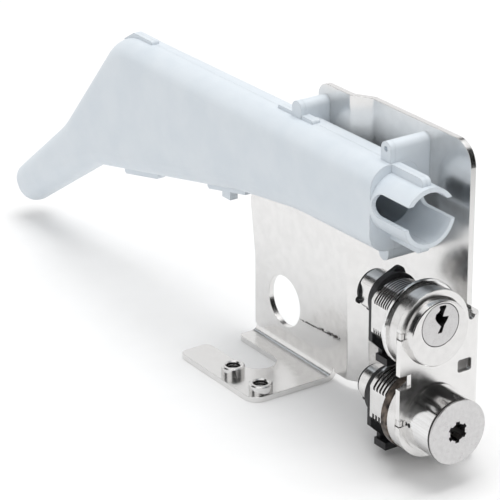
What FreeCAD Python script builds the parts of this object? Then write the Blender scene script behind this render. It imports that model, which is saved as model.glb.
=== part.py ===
import FreeCAD, Part
import math
import os
import re

import Sketcher

# Key interlock lock: two cam locks side by side in a folded steel bracket, which also
# carries a two-shell plastic wire duct on three arms. Lengths are in millimetres.
# X runs along the lock axes towards the key faces, Y away from the open side, Z is up.
# The sizes count from the lower lock's axis at the front face of the flange; each
# piece is then placed so that the origin lies between the two foot nuts.

os.makedirs("parts", exist_ok=True)
doc = FreeCAD.newDocument("KeyInterlockLock")
sheet = doc.addObject("Spreadsheet::Sheet", "Sizes")

SIZES = {
    # How far every cut runs past the faces that it opens
    "cut_past": 1.0,
    # Steel sheet: back plate with a joggle, front flange and foot
    "sheet_thick": 2.0,
    "bend_inner_r": 1.0,
    "foot_bend_inner_r": 2.4,
    "plate_front_y": 17.4,
    "joggle_depth": 4.0,
    "joggle_left_x": -64.1,
    "joggle_right_x": -57.4,
    "joggle_bend_r": 1.5,
    "plate_top_z": 87.5,
    "plate_bottom_z": -16.6,
    "plate_right_x": -5.64,
    "upper_edge_x": -82.0,
    "upper_edge_low_z": 74.0,
    "wing_x": -123.0,
    "wing_z": 33.0,
    "low_edge_x": -120.0,
    "low_edge_z": 10.0,
    "corner_right_r": 8.0,
    "corner_left_r": 5.0,
    "wing_r": 6.0,
    "cable_hole_x": -101.8,
    "cable_hole_z": -0.9,
    "cable_hole_r": 9.6,
    # Flange with its two lobes
    "lobe_r": 13.8,
    "lobe_trim": 0.4,
    "edge_notch_deep": 4.4,
    "edge_notch_low_z": 12.9,
    "edge_notch_high_z": 17.6,
    "window_left_y": 9.9,
    "window_right_y": 15.4,
    "window_low_z": 12.8,
    "window_high_z": 17.2,
    "window_r": 0.8,
    "relief_z": 31.8,
    "tab_z": 1.0,
    "tab_wide": 2.6,
    "tab_deep": 0.9,
    "tab_root": 1.0,
    "tab_gap": 0.25,
    # Foot with its slot and press nuts
    "foot_top_z": -18.4,
    "foot_left_x": -119.0,
    "foot_right_x": -72.6,
    "foot_edge_y": -20.1,
    "foot_slot_y": -1.2,
    "foot_slot_r": 6.5,
    "foot_slot_x": -96.9,
    "foot_corner_r": 3.0,
    "foot_right_r": 5.0,
    "foot_strip_r": 2.0,
    "bend_relief_wide": 1.2,
    "bend_relief_high": 0.6,
    "nut_mid_x": -85.9,
    "nut_y": -13.55,
    "nut_spacing": 17.0,
    "nut_r": 4.15,
    "nut_high": 3.0,
    "nut_shank_r": 3.3,
    "nut_bore_r": 2.5,
    "nut_chamfer": 0.5,
    # What the two locks share
    "upper_z": 30.47,
    "rotor_rise": 3.1,
    "barrel_r": 11.0,
    "barrel_flat": 9.5,
    "barrel_long": 20.5,
    "hole_clear": 0.15,
    "hole_flat_clear": 0.1,
    "spacer_r": 13.6,
    "spacer_bore_clear": 0.2,
    "nut_thread_clear": 0.05,
    "end_play": 0.3,
    "pin_clear": 0.05,
    "neck_clear": 0.1,
    "stop_thick": 2.0,
    "stop_top_r": 9.2,
    "stop_half": 9.0,
    "stop_chamfer_z": -9.6,
    "stop_low_z": -13.5,
    "stem_half": 5.0,
    "stop_foot_half": 6.0,
    "stop_foot_high_z": -15.0,
    "stop_foot_low_z": -17.6,
    "stop_foot_front_x": -16.4,
    "nib_r": 1.0,
    "nib_y": 5.0,
    "nib_z": -7.2,
    "cam_thick": 1.7,
    "cam_tip_r": 10.6,
    "cam_nose_r": 2.2,
    "spigot_r": 4.9,
    "spigot_flat": 4.0,
    "spigot_clear": 0.05,
    "sleeve_long": 6.7,
    "clip_thick": 1.0,
    "clip_groove_r": 4.4,
    "clip_groove_play": 0.05,
    "clip_gap_angle": 18.0,
    "clip_ear_angle": 26.0,
    "clip_ear_r": 1.2,
    "clip_hole_r": 0.5,
    "spigot_end": 1.0,
    # Upper lock: flat key
    "upper_head_r": 11.7,
    "upper_face_r": 11.1,
    "upper_head_long": 2.96,
    "plug_r": 7.19,
    "plug_clear": 0.05,
    "upper_neck_r": 6.8,
    "upper_sleeve_r": 6.9,
    "upper_sleeve_flat": 5.8,
    "chamber_first": 3.5,
    "chamber_head": 1.0,
    "chamber_end": 3.0,
    "pin_r": 1.35,
    "key_pin_foot": 7.0,
    "driver_head": 7.3,
    "driver_long": 3.0,
    "spring_long": 2.5,
    "upper_spacer_long": 4.5,
    "upper_nut_r": 14.8,
    "upper_nut_long": 1.8,
    "upper_hub_r": 8.0,
    "upper_nose_angle": 23.0,
    "upper_clip_r": 6.6,
    "upper_clip_turn": 40.0,
    # Lower lock: tubular key
    "lower_base_r": 11.7,
    "lower_base_long": 1.0,
    "collar_r": 10.8,
    "collar_bore_r": 9.45,
    "collar_end_x": 12.2,
    "nose_r": 9.4,
    "nose_end_x": 10.7,
    "collar_pin_r": 0.75,
    "collar_pin_x": 1.8,
    "collar_pin_z": 0.72,
    "collar_pin_depth": 2.8,
    "disc_r": 11.0,
    "disc_thick": 0.6,
    "disc_step_r": 9.1,
    "disc_step_long": 1.5,
    "rotor_r": 6.2,
    "rotor_clear": 0.05,
    "lower_neck_r": 5.7,
    "lower_sleeve_r": 6.2,
    "star_r": 3.0,
    "star_tip_r": 3.7,
    "star_slot_wide": 1.6,
    "star_pin_gap": 0.3,
    "star_depth": 12.6,
    "ring_pin_x": 4.5,
    "ring_pin_r": 0.9,
    "ring_pin_foot": 6.0,
    "ring_driver_head": 6.35,
    "ring_driver_long": 1.0,
    "ring_chamber_wall": 0.8,
    "lower_spacer_long": 4.0,
    "lower_nut_r": 13.9,
    "lower_nut_long": 3.3,
    "lower_hub_r": 8.8,
    "lower_nose_angle": 90.0,
    "lower_clip_r": 5.8,
    "lower_clip_turn": 0.0,
    "nut_edge_chamfer": 0.4,
    # Wire duct: corners of its side view from the spout's mouth to the shoulder
    "parting_y": 3.4,
    "duct_wall": 2.0,
    "duct_round": 7.2,
    "duct_top_z": 78.0,
    "mouth_low_x": -257.8,
    "mouth_low_z": -12.0,
    "mouth_high_x": -266.8,
    "mouth_high_z": 1.0,
    "mouth_half": 7.7,
    "elbow_x": -228.0,
    "elbow_z": 31.0,
    "elbow_bend_r": 60.0,
    "crown_x": -186.0,
    "crown_bend_r": 22.0,
    "heel_x": -207.1,
    "heel_z": 20.1,
    "heel_bend_r": 30.0,
    "belly_x": -108.0,
    "belly_z": 42.2,
    "taper_x": -72.0,
    "taper_z": 47.3,
    "belly_bend_r": 100.0,
    "shoulder_x": -26.0,
    "shoulder_low_z": 48.5,
    "shoulder_half": 10.0,
    # Neck at the duct's right end
    "neck_z": 65.2,
    "neck_outer_r": 10.2,
    "neck_inner_r": 8.6,
    "neck_end_x": -8.0,
    "slot_high_z": 5.4,
    "slot_start": 1.0,
    "slot_low_z": -2.0,
    "rim_reach": 12.8,
    "rim_root": 0.8,
    "rim_half": 1.7,
    "rim_end_x": -10.0,
    "rim_corner_r": 2.0,
    # Arms that carry the duct on the back plate, with their screws
    "arm_half": 2.55,
    "arm_root": 1.0,
    "arm_ridge": 0.05,
    "web_low_z": 65.0,
    "left_arm_x": -78.0,
    "left_arm_end_z": 83.8,
    "right_arm_x": -29.0,
    "right_arm_end_z": 84.8,
    "low_arm_x": -29.2,
    "low_arm_end_z": 43.9,
    "cap_thick": 1.8,
    "screw_r": 1.4,
    "pilot_spare": 0.5,
    "screw_pilot_clear": 0.05,
    "screw_plate_clear": 0.3,
    "screw_long": 8.0,
    "screw_head_r": 2.8,
    "screw_head_high": 1.6,
    "screw_dimple_r": 0.9,
    # Clips along the parting line of the duct
    "clip_half": 1.6,
    "clip_top_z": 79.3,
    "clip_corner": 0.9,
    "clip_root": 1.0,
    "brow_clip_left_x": -187.6,
    "brow_clip_low_z": 75.4,
    "brow_clip_foot": 3.0,
    "brow_clip_bend_x": -181.0,
    "brow_clip_right_x": -168.6,
    "top_clip_left_x": -89.2,
    "top_clip_right_x": -69.4,
    "low_clip_left_x": -189.6,
    "low_clip_right_x": -166.0,
    "low_clip_drop": 2.2,
    "hook_wing": 12.0,
    "hook_x": -121.0,
    "hook_low_z": 34.6,
    "hook_wide": 5.0,
    "peg_r": 0.5,
    "peg_long": 1.0,
    "peg_clear": 0.05,
    "peg_inset": 4.0,
    "peg_hole_play": 0.2,
}

# Places that follow from the sizes above
DERIVED = {
    "plate_back_y": "plate_front_y+sheet_thick",
    "left_front_y": "plate_front_y-joggle_depth",
    "left_back_y": "left_front_y+sheet_thick",
    "joggle_set": "sheet_thick*tan(atan2(joggle_depth; joggle_right_x-joggle_left_x)/2)",
    "flange_back_x": "0-sheet_thick",
    "bend_x": "0-sheet_thick-bend_inner_r",
    "bend_y": "plate_front_y-bend_inner_r",
    "flange_left_y": "lobe_trim-lobe_r",
    "edge_notch_y": "flange_left_y+edge_notch_deep",
    "tab_seat_y": "flange_left_y+tab_deep",
    "keyway_depth": "barrel_long",
    "hook_clip_left_x": "hook_x-hook_wing",
    "hook_clip_right_x": "hook_x+hook_wing",
    "lobe_side_z": "sqrt(lobe_r^2-flange_left_y^2)",
    "tab_half": "tab_wide/2",
    "relief_y": "sqrt(lobe_r^2-(relief_z-upper_z)^2)",
    "foot_bottom_z": "foot_top_z-sheet_thick",
    "foot_bend_y": "left_front_y-foot_bend_inner_r",
    "foot_bend_z": "foot_top_z+foot_bend_inner_r",
    "upper_rotor_z": "upper_z+rotor_rise",
    "hole_r": "barrel_r+hole_clear",
    "hole_flat": "barrel_flat+hole_flat_clear",
    "stop_back_x": "0-barrel_long-stop_thick",
    "cam_front_x": "stop_back_x-end_play",
    "cam_back_x": "cam_front_x-cam_thick",
    "sleeve_back_x": "cam_back_x-sleeve_long",
    "clip_back_x": "sleeve_back_x-clip_thick",
    "spigot_back_x": "clip_back_x-spigot_end",
    "shoulder_back_x": "end_play-barrel_long",
    "chamber_r": "pin_r+pin_clear",
    "spring_head": "driver_head+driver_long",
    "chamber_floor": "spring_head+spring_long",
    "ring_pin_tip": "star_r+star_pin_gap",
    "ring_spring_foot": "ring_driver_head+ring_driver_long",
    "ring_chamber_end": "nose_r-ring_chamber_wall",
    # Five chambers have four steps between them
    "chamber_pitch": "(barrel_long-chamber_first-chamber_end)/4",
    "ring_chamber_r": "ring_pin_r+pin_clear",
    "plug_bore_r": "plug_r+plug_clear",
    "rotor_bore_r": "rotor_r+rotor_clear",
    "duct_slope": "(shoulder_half-mouth_half)/(shoulder_x-mouth_high_x)",
    "slot_mid_z": "(slot_high_z+slot_low_z)/2",
    "slot_half": "(slot_high_z-slot_low_z)/2",
}


def formula(text):
    """Writes the names in a text as references to cells of the sheet."""
    def swap(match):
        word = match.group(0)
        if word in DERIVED:
            return "(" + formula(DERIVED[word]) + ")"
        return "Sizes." + word if word in SIZES else word
    return re.sub(r"[a-z][a-z0-9_]*", swap, str(text))


def value(text):
    result = sheet.evalExpression(formula(text))
    return float(getattr(result, "Value", result))


def bind(item, path, text):
    item.setExpression(path, formula(text))


for row, (name, size) in enumerate(SIZES.items(), 1):
    sheet.set("A%d" % row, name)
    sheet.set("B%d" % row, str(size))
    sheet.setAlias("B%d" % row, name)
doc.recompute()


def body(label):
    """Starts one piece and moves it from the working frame to the part's origin."""
    item = doc.addObject("PartDesign::Body", label)
    item.Label = label
    item.AllowCompound = True
    bind(item, "Placement.Base.x", "0-nut_mid_x")
    bind(item, "Placement.Base.y", "0-nut_y")
    bind(item, "Placement.Base.z", "0-foot_bottom_z")
    return item


def trace(sketch, loop):
    """Draws a closed outline. A vertex is (x, y); where an arc leaves it, the turn and
    the arc's centre follow."""
    spots = [(value(vertex[0]), value(vertex[1])) for vertex in loop]
    rules = []
    ends = []
    for index, vertex in enumerate(loop):
        here = spots[index]
        there = spots[(index + 1) % len(loop)]
        if len(vertex) == 2:
            line = Part.LineSegment(FreeCAD.Vector(*here, 0), FreeCAD.Vector(*there, 0))
            edge = sketch.addGeometry(line, False)
            ends.append((edge, 1, 2))
            continue
        turn, centre_x, centre_y = vertex[2:]
        centre = FreeCAD.Vector(value(centre_x), value(centre_y), 0)
        radius = math.dist(here, (centre.x, centre.y))
        start = math.atan2(here[1] - centre.y, here[0] - centre.x)
        stop = math.atan2(there[1] - centre.y, there[0] - centre.x)
        if turn == "cw":
            start, stop = stop, start
        if stop <= start:
            stop += 2 * math.pi
        circle = Part.Circle(centre, FreeCAD.Vector(0, 0, 1), radius)
        edge = sketch.addGeometry(Part.ArcOfCircle(circle, start, stop), False)
        ends.append((edge, 1, 2) if turn == "ccw" else (edge, 2, 1))
        if abs(there[0] - here[0]) >= abs(there[1] - here[1]):
            rules.append(("DistanceY", edge, 3, centre_y))
        else:
            rules.append(("DistanceX", edge, 3, centre_x))
    for index, (edge, start, stop) in enumerate(ends):
        before = ends[index - 1]
        sketch.addConstraint(Sketcher.Constraint("Coincident", before[0], before[2], edge, start))
        rules.append(("DistanceX", edge, start, loop[index][0]))
        rules.append(("DistanceY", edge, start, loop[index][1]))
    for kind, edge, spot, text in rules:
        rule = Sketcher.Constraint(kind, -1, 1, edge, spot, value(text))
        bind(sketch, "Constraints[%d]" % sketch.addConstraint(rule), text)


def ring(sketch, centre_x, centre_y, radius):
    """Draws one circle."""
    centre = FreeCAD.Vector(value(centre_x), value(centre_y), 0)
    circle = Part.Circle(centre, FreeCAD.Vector(0, 0, 1), value(radius))
    edge = sketch.addGeometry(circle, False)
    for kind, text in (("DistanceX", centre_x), ("DistanceY", centre_y)):
        rule = Sketcher.Constraint(kind, -1, 1, edge, 3, value(text))
        bind(sketch, "Constraints[%d]" % sketch.addConstraint(rule), text)
    rule = Sketcher.Constraint("Radius", edge, value(radius))
    bind(sketch, "Constraints[%d]" % sketch.addConstraint(rule), radius)


def outline(item, name, role, depth, shift=("0", "0"), loops=(), circles=()):
    """Puts a sketch on one of the piece's origin planes, moved along and within it."""
    sketch = item.newObject("Sketcher::SketchObject", item.Label + "_" + name)
    planes = [plane for plane in item.Origin.OriginFeatures if plane.Role == role]
    sketch.AttachmentSupport = [(planes[0], "")]
    sketch.MapMode = "FlatFace"
    bind(sketch, "AttachmentOffset.Base.x", shift[0])
    bind(sketch, "AttachmentOffset.Base.y", shift[1])
    bind(sketch, "AttachmentOffset.Base.z", depth)
    for loop in loops:
        trace(sketch, loop)
    for circle in circles:
        ring(sketch, *circle)
    return sketch


def pad(item, name, role, low, high, **drawing):
    """Adds material between two planes across X, Y or Z."""
    depth = "0-(%s)" % high if role == "XZ_Plane" else low
    profile = outline(item, name + "Outline", role, depth, **drawing)
    feature = item.newObject("PartDesign::Pad", item.Label + "_" + name)
    feature.Profile = profile
    bind(feature, "Length", "(%s)-(%s)" % (high, low))
    return feature


def pocket(item, name, role, low, high, **drawing):
    """Takes material away between two planes across X, Y or Z."""
    depth = "0-(%s)" % low if role == "XZ_Plane" else high
    profile = outline(item, name + "Outline", role, depth, **drawing)
    feature = item.newObject("PartDesign::Pocket", item.Label + "_" + name)
    feature.Profile = profile
    bind(feature, "Length", "(%s)-(%s)" % (high, low))
    return feature


def revolve(item, name, shift, loop):
    """Turns an outline in the XZ plane about a line along X."""
    profile = outline(item, name + "Outline", "XZ_Plane", "0", shift=shift, loops=[loop])
    feature = item.newObject("PartDesign::Revolution", item.Label + "_" + name)
    feature.Profile = profile
    feature.ReferenceAxis = (profile, ["H_Axis"])
    feature.Angle = 360
    return feature


def around(item, name, feature, axis_sketch, count):
    """Repeats a feature at equal angles about its sketch's own X line."""
    pattern = item.newObject("PartDesign::PolarPattern", item.Label + "_" + name)
    pattern.Originals = [feature]
    pattern.Axis = (axis_sketch, ["H_Axis"])
    pattern.Angle = 360
    pattern.Occurrences = count
    item.Tip = pattern
    return pattern


def line_at(axis, **place):
    """Test for straight edges along an axis at a place in the other two directions."""
    def test(edge):
        if not isinstance(edge.Curve, Part.Line):
            return False
        if abs(abs(getattr(edge.Curve.Direction, axis)) - 1) > 1e-6:
            return False
        middle = edge.valueAt((edge.FirstParameter + edge.LastParameter) / 2)
        return all(abs(getattr(middle, key) - value(text)) < 0.02 for key, text in place.items())
    return test


def circle_at(place, radius):
    """Test for round edges across X at a place, with a radius."""
    def test(edge):
        if not isinstance(edge.Curve, Part.Circle):
            return False
        near = abs(edge.Curve.Center.x - value(place)) < 0.01
        return near and abs(edge.Curve.Radius - value(radius)) < 0.01
    return test


def dress(item, kind, name, size, *tests):
    """Rounds or chamfers the edges that pass one of the tests."""
    doc.recompute()
    base = item.Tip
    picked = []
    for index, edge in enumerate(base.Shape.Edges, 1):
        if any(test(edge) for test in tests):
            picked.append("Edge%d" % index)
    feature = item.newObject("PartDesign::" + kind, item.Label + "_" + name)
    feature.Base = (base, picked)
    bind(feature, {"Fillet": "Radius", "Chamfer": "Size"}[kind], size)
    return feature


def double_d(radius, flat):
    """A circle with a flat on its left and on its right."""
    side = "sqrt((%s)^2-(%s)^2)" % (radius, flat)
    return [
        (flat, "0-" + side),
        (flat, side, "ccw", "0", "0"),
        ("0-(%s)" % flat, side),
        ("0-(%s)" % flat, "0-" + side, "ccw", "0", "0"),
    ]


def box(left, low, right, high):
    return [(left, low), (right, low), (right, high), (left, high)]


def round_box(left, low, right, high, radius):
    """A rectangle with round corners."""
    inner = ["(%s)+%s" % (left, radius), "(%s)+%s" % (low, radius)]
    outer = ["(%s)-%s" % (right, radius), "(%s)-%s" % (high, radius)]
    return [
        (inner[0], low),
        (outer[0], low, "ccw", outer[0], inner[1]),
        (right, inner[1]),
        (right, outer[1], "ccw", outer[0], outer[1]),
        (outer[0], high),
        (inner[0], high, "ccw", inner[0], outer[1]),
        (left, outer[1]),
        (left, inner[1], "ccw", inner[0], inner[1]),
    ]


ARMS = {
    "left": ("left_arm_x", "left_arm_end_z", "left_front_y"),
    "right": ("right_arm_x", "right_arm_end_z", "plate_front_y"),
    "low": ("low_arm_x", "low_arm_end_z", "plate_front_y"),
}


def arm_screw_z(arm):
    end = ARMS[arm][1]
    return end + ("+arm_half" if arm == "low" else "-arm_half")


def make_bracket():
    """Folded sheet: back plate, joggle, front flange with two lobes, and foot."""
    item = body("mounting_bracket")
    pad(item, "BackPlate", "XY_Plane", "plate_bottom_z", "plate_top_z", loops=[[
        ("wing_x", "left_front_y"),
        ("joggle_left_x", "left_front_y"),
        ("joggle_right_x", "plate_front_y"),
        ("plate_right_x", "plate_front_y"),
        ("plate_right_x", "plate_back_y"),
        ("joggle_right_x-joggle_set", "plate_back_y"),
        ("joggle_left_x-joggle_set", "left_back_y"),
        ("wing_x", "left_back_y"),
    ]])
    dress(item, "Fillet", "JoggleInner", "joggle_bend_r",
          line_at("z", x="joggle_left_x", y="left_front_y"),
          line_at("z", x="joggle_right_x-joggle_set", y="plate_back_y"))
    dress(item, "Fillet", "JoggleOuter", "joggle_bend_r+sheet_thick",
          line_at("z", x="joggle_right_x", y="plate_front_y"),
          line_at("z", x="joggle_left_x-joggle_set", y="left_back_y"))
    # The plate's left side, with the foot's bend relief, as seen from the front
    pocket(item, "PlateTrim", "XZ_Plane", "left_front_y-cut_past", "plate_back_y+cut_past", loops=[[
        ("wing_x-cut_past", "plate_bottom_z-cut_past"),
        ("foot_right_x+bend_relief_wide", "plate_bottom_z-cut_past"),
        ("foot_right_x+bend_relief_wide", "foot_bend_z+bend_relief_high"),
        ("foot_right_x", "foot_bend_z+bend_relief_high"),
        ("foot_right_x", "foot_bend_z"),
        ("low_edge_x", "foot_bend_z"),
        ("low_edge_x", "low_edge_z"),
        ("wing_x", "wing_z"),
        ("upper_edge_x", "upper_edge_low_z"),
        ("upper_edge_x", "plate_top_z+cut_past"),
        ("wing_x-cut_past", "plate_top_z+cut_past"),
    ]])
    dress(item, "Fillet", "TopLeftCorner", "corner_left_r",
          line_at("y", x="upper_edge_x", z="plate_top_z"))
    dress(item, "Fillet", "TopRightCorner", "corner_right_r",
          line_at("y", x="plate_right_x", z="plate_top_z"))
    dress(item, "Fillet", "WingCorners", "wing_r",
          line_at("y", x="wing_x", z="wing_z"),
          line_at("y", x="upper_edge_x", z="upper_edge_low_z"))
    pad(item, "FlangeBend", "XY_Plane", "0-lobe_r", "relief_z", loops=[[
        ("plate_right_x", "plate_front_y"),
        ("bend_x", "plate_front_y", "cw", "bend_x", "bend_y"),
        ("flange_back_x", "bend_y"),
        ("0", "bend_y", "ccw", "bend_x", "bend_y"),
        ("bend_x", "plate_back_y"),
        ("plate_right_x", "plate_back_y"),
    ]])
    pad(item, "Flange", "YZ_Plane", "flange_back_x", "0", loops=[[
        ("bend_y", "0-lobe_r"),
        ("0", "0-lobe_r", "cw", "0", "0"),
        ("flange_left_y", "0-lobe_side_z"),
        ("flange_left_y", "tab_z-tab_half"),
        ("tab_seat_y", "tab_z-tab_half", "ccw", "tab_seat_y", "tab_z"),
        ("tab_seat_y", "tab_z+tab_half"),
        ("flange_left_y", "tab_z+tab_half"),
        ("flange_left_y", "edge_notch_low_z"),
        ("edge_notch_y", "edge_notch_low_z"),
        ("edge_notch_y", "edge_notch_high_z"),
        ("flange_left_y", "edge_notch_high_z"),
        ("flange_left_y", "upper_z+tab_z-tab_half"),
        ("tab_seat_y", "upper_z+tab_z-tab_half", "ccw", "tab_seat_y", "upper_z+tab_z"),
        ("tab_seat_y", "upper_z+tab_z+tab_half"),
        ("flange_left_y", "upper_z+tab_z+tab_half"),
        ("flange_left_y", "upper_z+lobe_side_z", "cw", "0", "upper_z"),
        ("relief_y", "relief_z", "ccw", "(relief_y+bend_y)/2", "relief_z"),
        ("bend_y", "relief_z"),
    ]])
    pad(item, "Foot", "YZ_Plane", "foot_left_x", "foot_right_x", loops=[[
        ("foot_edge_y", "foot_bottom_z"),
        ("foot_bend_y", "foot_bottom_z", "ccw", "foot_bend_y", "foot_bend_z"),
        ("left_back_y", "foot_bend_z"),
        ("left_front_y", "foot_bend_z", "cw", "foot_bend_y", "foot_bend_z"),
        ("foot_bend_y", "foot_top_z"),
        ("foot_edge_y", "foot_top_z"),
    ]])
    pocket(item, "FootSlot", "XY_Plane", "foot_bottom_z-cut_past", "foot_top_z+cut_past", loops=[[
        ("foot_left_x-cut_past", "foot_slot_y-foot_slot_r"),
        ("foot_slot_x", "foot_slot_y-foot_slot_r", "ccw", "foot_slot_x", "foot_slot_y"),
        ("foot_slot_x", "foot_slot_y+foot_slot_r"),
        ("foot_left_x-cut_past", "foot_slot_y+foot_slot_r"),
    ]])
    dress(item, "Fillet", "FootLeftCorners", "foot_corner_r",
          line_at("z", x="foot_left_x", y="foot_edge_y"),
          line_at("z", x="foot_left_x", y="foot_slot_y-foot_slot_r"))
    dress(item, "Fillet", "FootRightCorner", "foot_right_r",
          line_at("z", x="foot_right_x", y="foot_edge_y"))
    dress(item, "Fillet", "FootStripCorner", "foot_strip_r",
          line_at("z", x="foot_left_x", y="foot_slot_y+foot_slot_r"))
    pocket(item, "NutHoles", "XY_Plane", "foot_bottom_z-cut_past", "foot_top_z+cut_past", circles=[
        ("nut_mid_x-nut_spacing/2", "nut_y", "nut_shank_r"),
        ("nut_mid_x+nut_spacing/2", "nut_y", "nut_shank_r"),
    ])
    pocket(item, "CableHole", "XZ_Plane", "left_front_y-cut_past", "left_back_y+cut_past", circles=[
        ("cable_hole_x", "cable_hole_z", "cable_hole_r"),
    ])
    pocket(item, "ScrewHoles", "XZ_Plane", "left_front_y-cut_past", "plate_back_y+cut_past", circles=[
        (ARMS[arm][0], arm_screw_z(arm), "screw_r+screw_plate_clear") for arm in ARMS
    ])
    for name, height in (("LowerLockHole", "0"), ("UpperLockHole", "upper_z")):
        pocket(item, name, "YZ_Plane", "flange_back_x-cut_past", "cut_past", shift=("0", height),
               loops=[double_d("hole_r", "hole_flat")])
    pocket(item, "Window", "YZ_Plane", "flange_back_x-cut_past", "cut_past", loops=[
        round_box("window_left_y", "window_low_z", "window_right_y", "window_high_z", "window_r"),
    ])


def make_press_nuts():
    """Two round clinch nuts, flush with the underside of the foot."""
    item = body("foot_press_nuts")
    places = ("nut_mid_x-nut_spacing/2", "nut_mid_x+nut_spacing/2")
    pad(item, "Heads", "XY_Plane", "foot_top_z", "foot_top_z+nut_high",
        circles=[(place, "nut_y", "nut_r") for place in places])
    def crown(edge):
        flat = isinstance(edge.Curve, Part.Circle)
        return flat and abs(edge.Curve.Center.z - value("foot_top_z+nut_high")) < 0.01
    dress(item, "Chamfer", "Crown", "nut_chamfer", crown)
    pad(item, "Shanks", "XY_Plane", "foot_bottom_z", "foot_top_z",
        circles=[(place, "nut_y", "nut_shank_r") for place in places])
    pocket(item, "Bores", "XY_Plane", "foot_bottom_z-cut_past", "foot_top_z+nut_high+cut_past",
           circles=[(place, "nut_y", "nut_bore_r") for place in places])


def out(side, reach):
    """A distance from the parting plane to the front (-) or to the rear (+)."""
    return "0%s(%s)" % (side, reach)


def half_turn(side, turn):
    """The turn of an arc, swapped on the rear shell, which is the mirror image."""
    return turn if side == "-" else {"ccw": "cw", "cw": "ccw"}[turn]


def between(side, near, far):
    """The span between two distances from the parting plane, low one first."""
    if side == "-":
        return "parting_y-(%s)" % far, "parting_y-(%s)" % near
    return "parting_y+(%s)" % near, "parting_y+(%s)" % far


def add_trunk(item, side):
    """Half of the hollow duct: wide spout, crown and a body that narrows to the shoulder."""
    pad(item, "Trunk", "XZ_Plane", *between(side, "0", "shoulder_half"), loops=[[
        ("mouth_low_x", "mouth_low_z"),
        ("heel_x", "heel_z"),
        ("belly_x", "belly_z"),
        ("taper_x", "taper_z"),
        ("shoulder_x", "shoulder_low_z"),
        ("shoulder_x", "duct_top_z"),
        ("crown_x", "duct_top_z"),
        ("elbow_x", "elbow_z"),
        ("mouth_high_x", "mouth_high_z"),
    ]])
    bends = (
        ("Crown", "crown_bend_r", ("crown_x", "duct_top_z")),
        ("Elbow", "elbow_bend_r", ("elbow_x", "elbow_z")),
        ("Heel", "heel_bend_r", ("heel_x", "heel_z")),
        ("Belly", "belly_bend_r", ("belly_x", "belly_z"), ("taper_x", "taper_z")),
    )
    for name, radius, *places in bends:
        dress(item, "Fillet", name + "Bend", radius, *[line_at("y", x=x, z=z) for x, z in places])
    pocket(item, "SideTaper", "XY_Plane", "mouth_low_z-cut_past", "duct_top_z+cut_past",
           shift=("0", "parting_y"),
           loops=[[
               ("mouth_high_x", out(side, "mouth_half")),
               ("shoulder_x", out(side, "shoulder_half")),
               ("shoulder_x", out(side, "shoulder_half+cut_past")),
               ("mouth_high_x", out(side, "shoulder_half+cut_past")),
           ]])

    low = FreeCAD.Vector(value("mouth_low_x"), 0, value("mouth_low_z"))
    across = FreeCAD.Vector(value("mouth_high_x"), 0, value("mouth_high_z")) - low

    def at_mouth(place):
        return abs(across.cross(place - low).y) < 0.01

    def on_parting(place):
        return abs(place.y - value("parting_y")) < 0.01

    def side_edge(edge):
        middle = edge.valueAt((edge.FirstParameter + edge.LastParameter) / 2)
        reach = value("shoulder_half+(%s-shoulder_x)*duct_slope" % middle.x)
        on_side = abs(abs(middle.y - value("parting_y")) - reach) < 0.01
        at_shoulder = abs(middle.x - value("shoulder_x")) < 0.01
        return on_side and not at_shoulder and not at_mouth(middle)

    dress(item, "Fillet", "LongRounds", "duct_round", side_edge)
    doc.recompute()
    base = item.Tip
    opened = []
    for index, face in enumerate(base.Shape.Faces, 1):
        middle = face.CenterOfMass
        flat = isinstance(face.Surface, Part.Plane)
        if flat and (on_parting(middle) or at_mouth(middle)):
            opened.append("Face%d" % index)
    feature = item.newObject("PartDesign::Thickness", item.Label + "_Wall")
    feature.Base = (base, opened)
    feature.Reversed = True
    feature.Join = "Intersection"
    bind(feature, "Value", "duct_wall")


def arm_outline(arm):
    """A bar with a round outer end, rooted in the duct's wall."""
    place, end, _ = ARMS[arm]
    left = place + "-arm_half"
    right = place + "+arm_half"
    if arm == "low":
        middle = end + "+arm_half"
        root = "shoulder_low_z+arm_root"
        return [(left, root), (left, middle, "ccw", place, middle), (right, middle), (right, root)]
    middle = end + "-arm_half"
    root = "duct_top_z-arm_root"
    return [(right, root), (right, middle, "ccw", place, middle), (left, middle), (left, root)]


def add_web(item, arm):
    """Tall web over and behind the duct: it follows the duct's round and stands on the plate."""
    place, end, seat = ARMS[arm]
    reach = "(shoulder_half+(%s-shoulder_x)*duct_slope)" % place
    turn_y = "(parting_y+%s-duct_round)" % reach
    turn_z = "(duct_top_z-duct_round)"
    sunk = "(duct_round-arm_root)"
    pad(item, arm.title() + "Arm", "YZ_Plane", place + "-arm_half", place + "+arm_half", loops=[[
        ("parting_y", end),
        ("parting_y", "duct_top_z-arm_root"),
        (turn_y, "duct_top_z-arm_root", "cw", turn_y, turn_z),
        (turn_y + "+" + sunk, turn_z),
        (turn_y + "+" + sunk, "web_low_z"),
        (seat, "web_low_z"),
        (seat, end),
    ]])
    dress(item, "Fillet", arm.title() + "Round", "arm_half-arm_ridge",
          line_at("y", x=place + "-arm_half", z=end), line_at("y", x=place + "+arm_half", z=end))


def underside_z(place):
    """Height of the duct's lower edge at a place between its heel and its belly."""
    slope = "(belly_z-heel_z)/(belly_x-heel_x)"
    return "(heel_z+(%s-heel_x)*%s)" % (place, slope)


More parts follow.
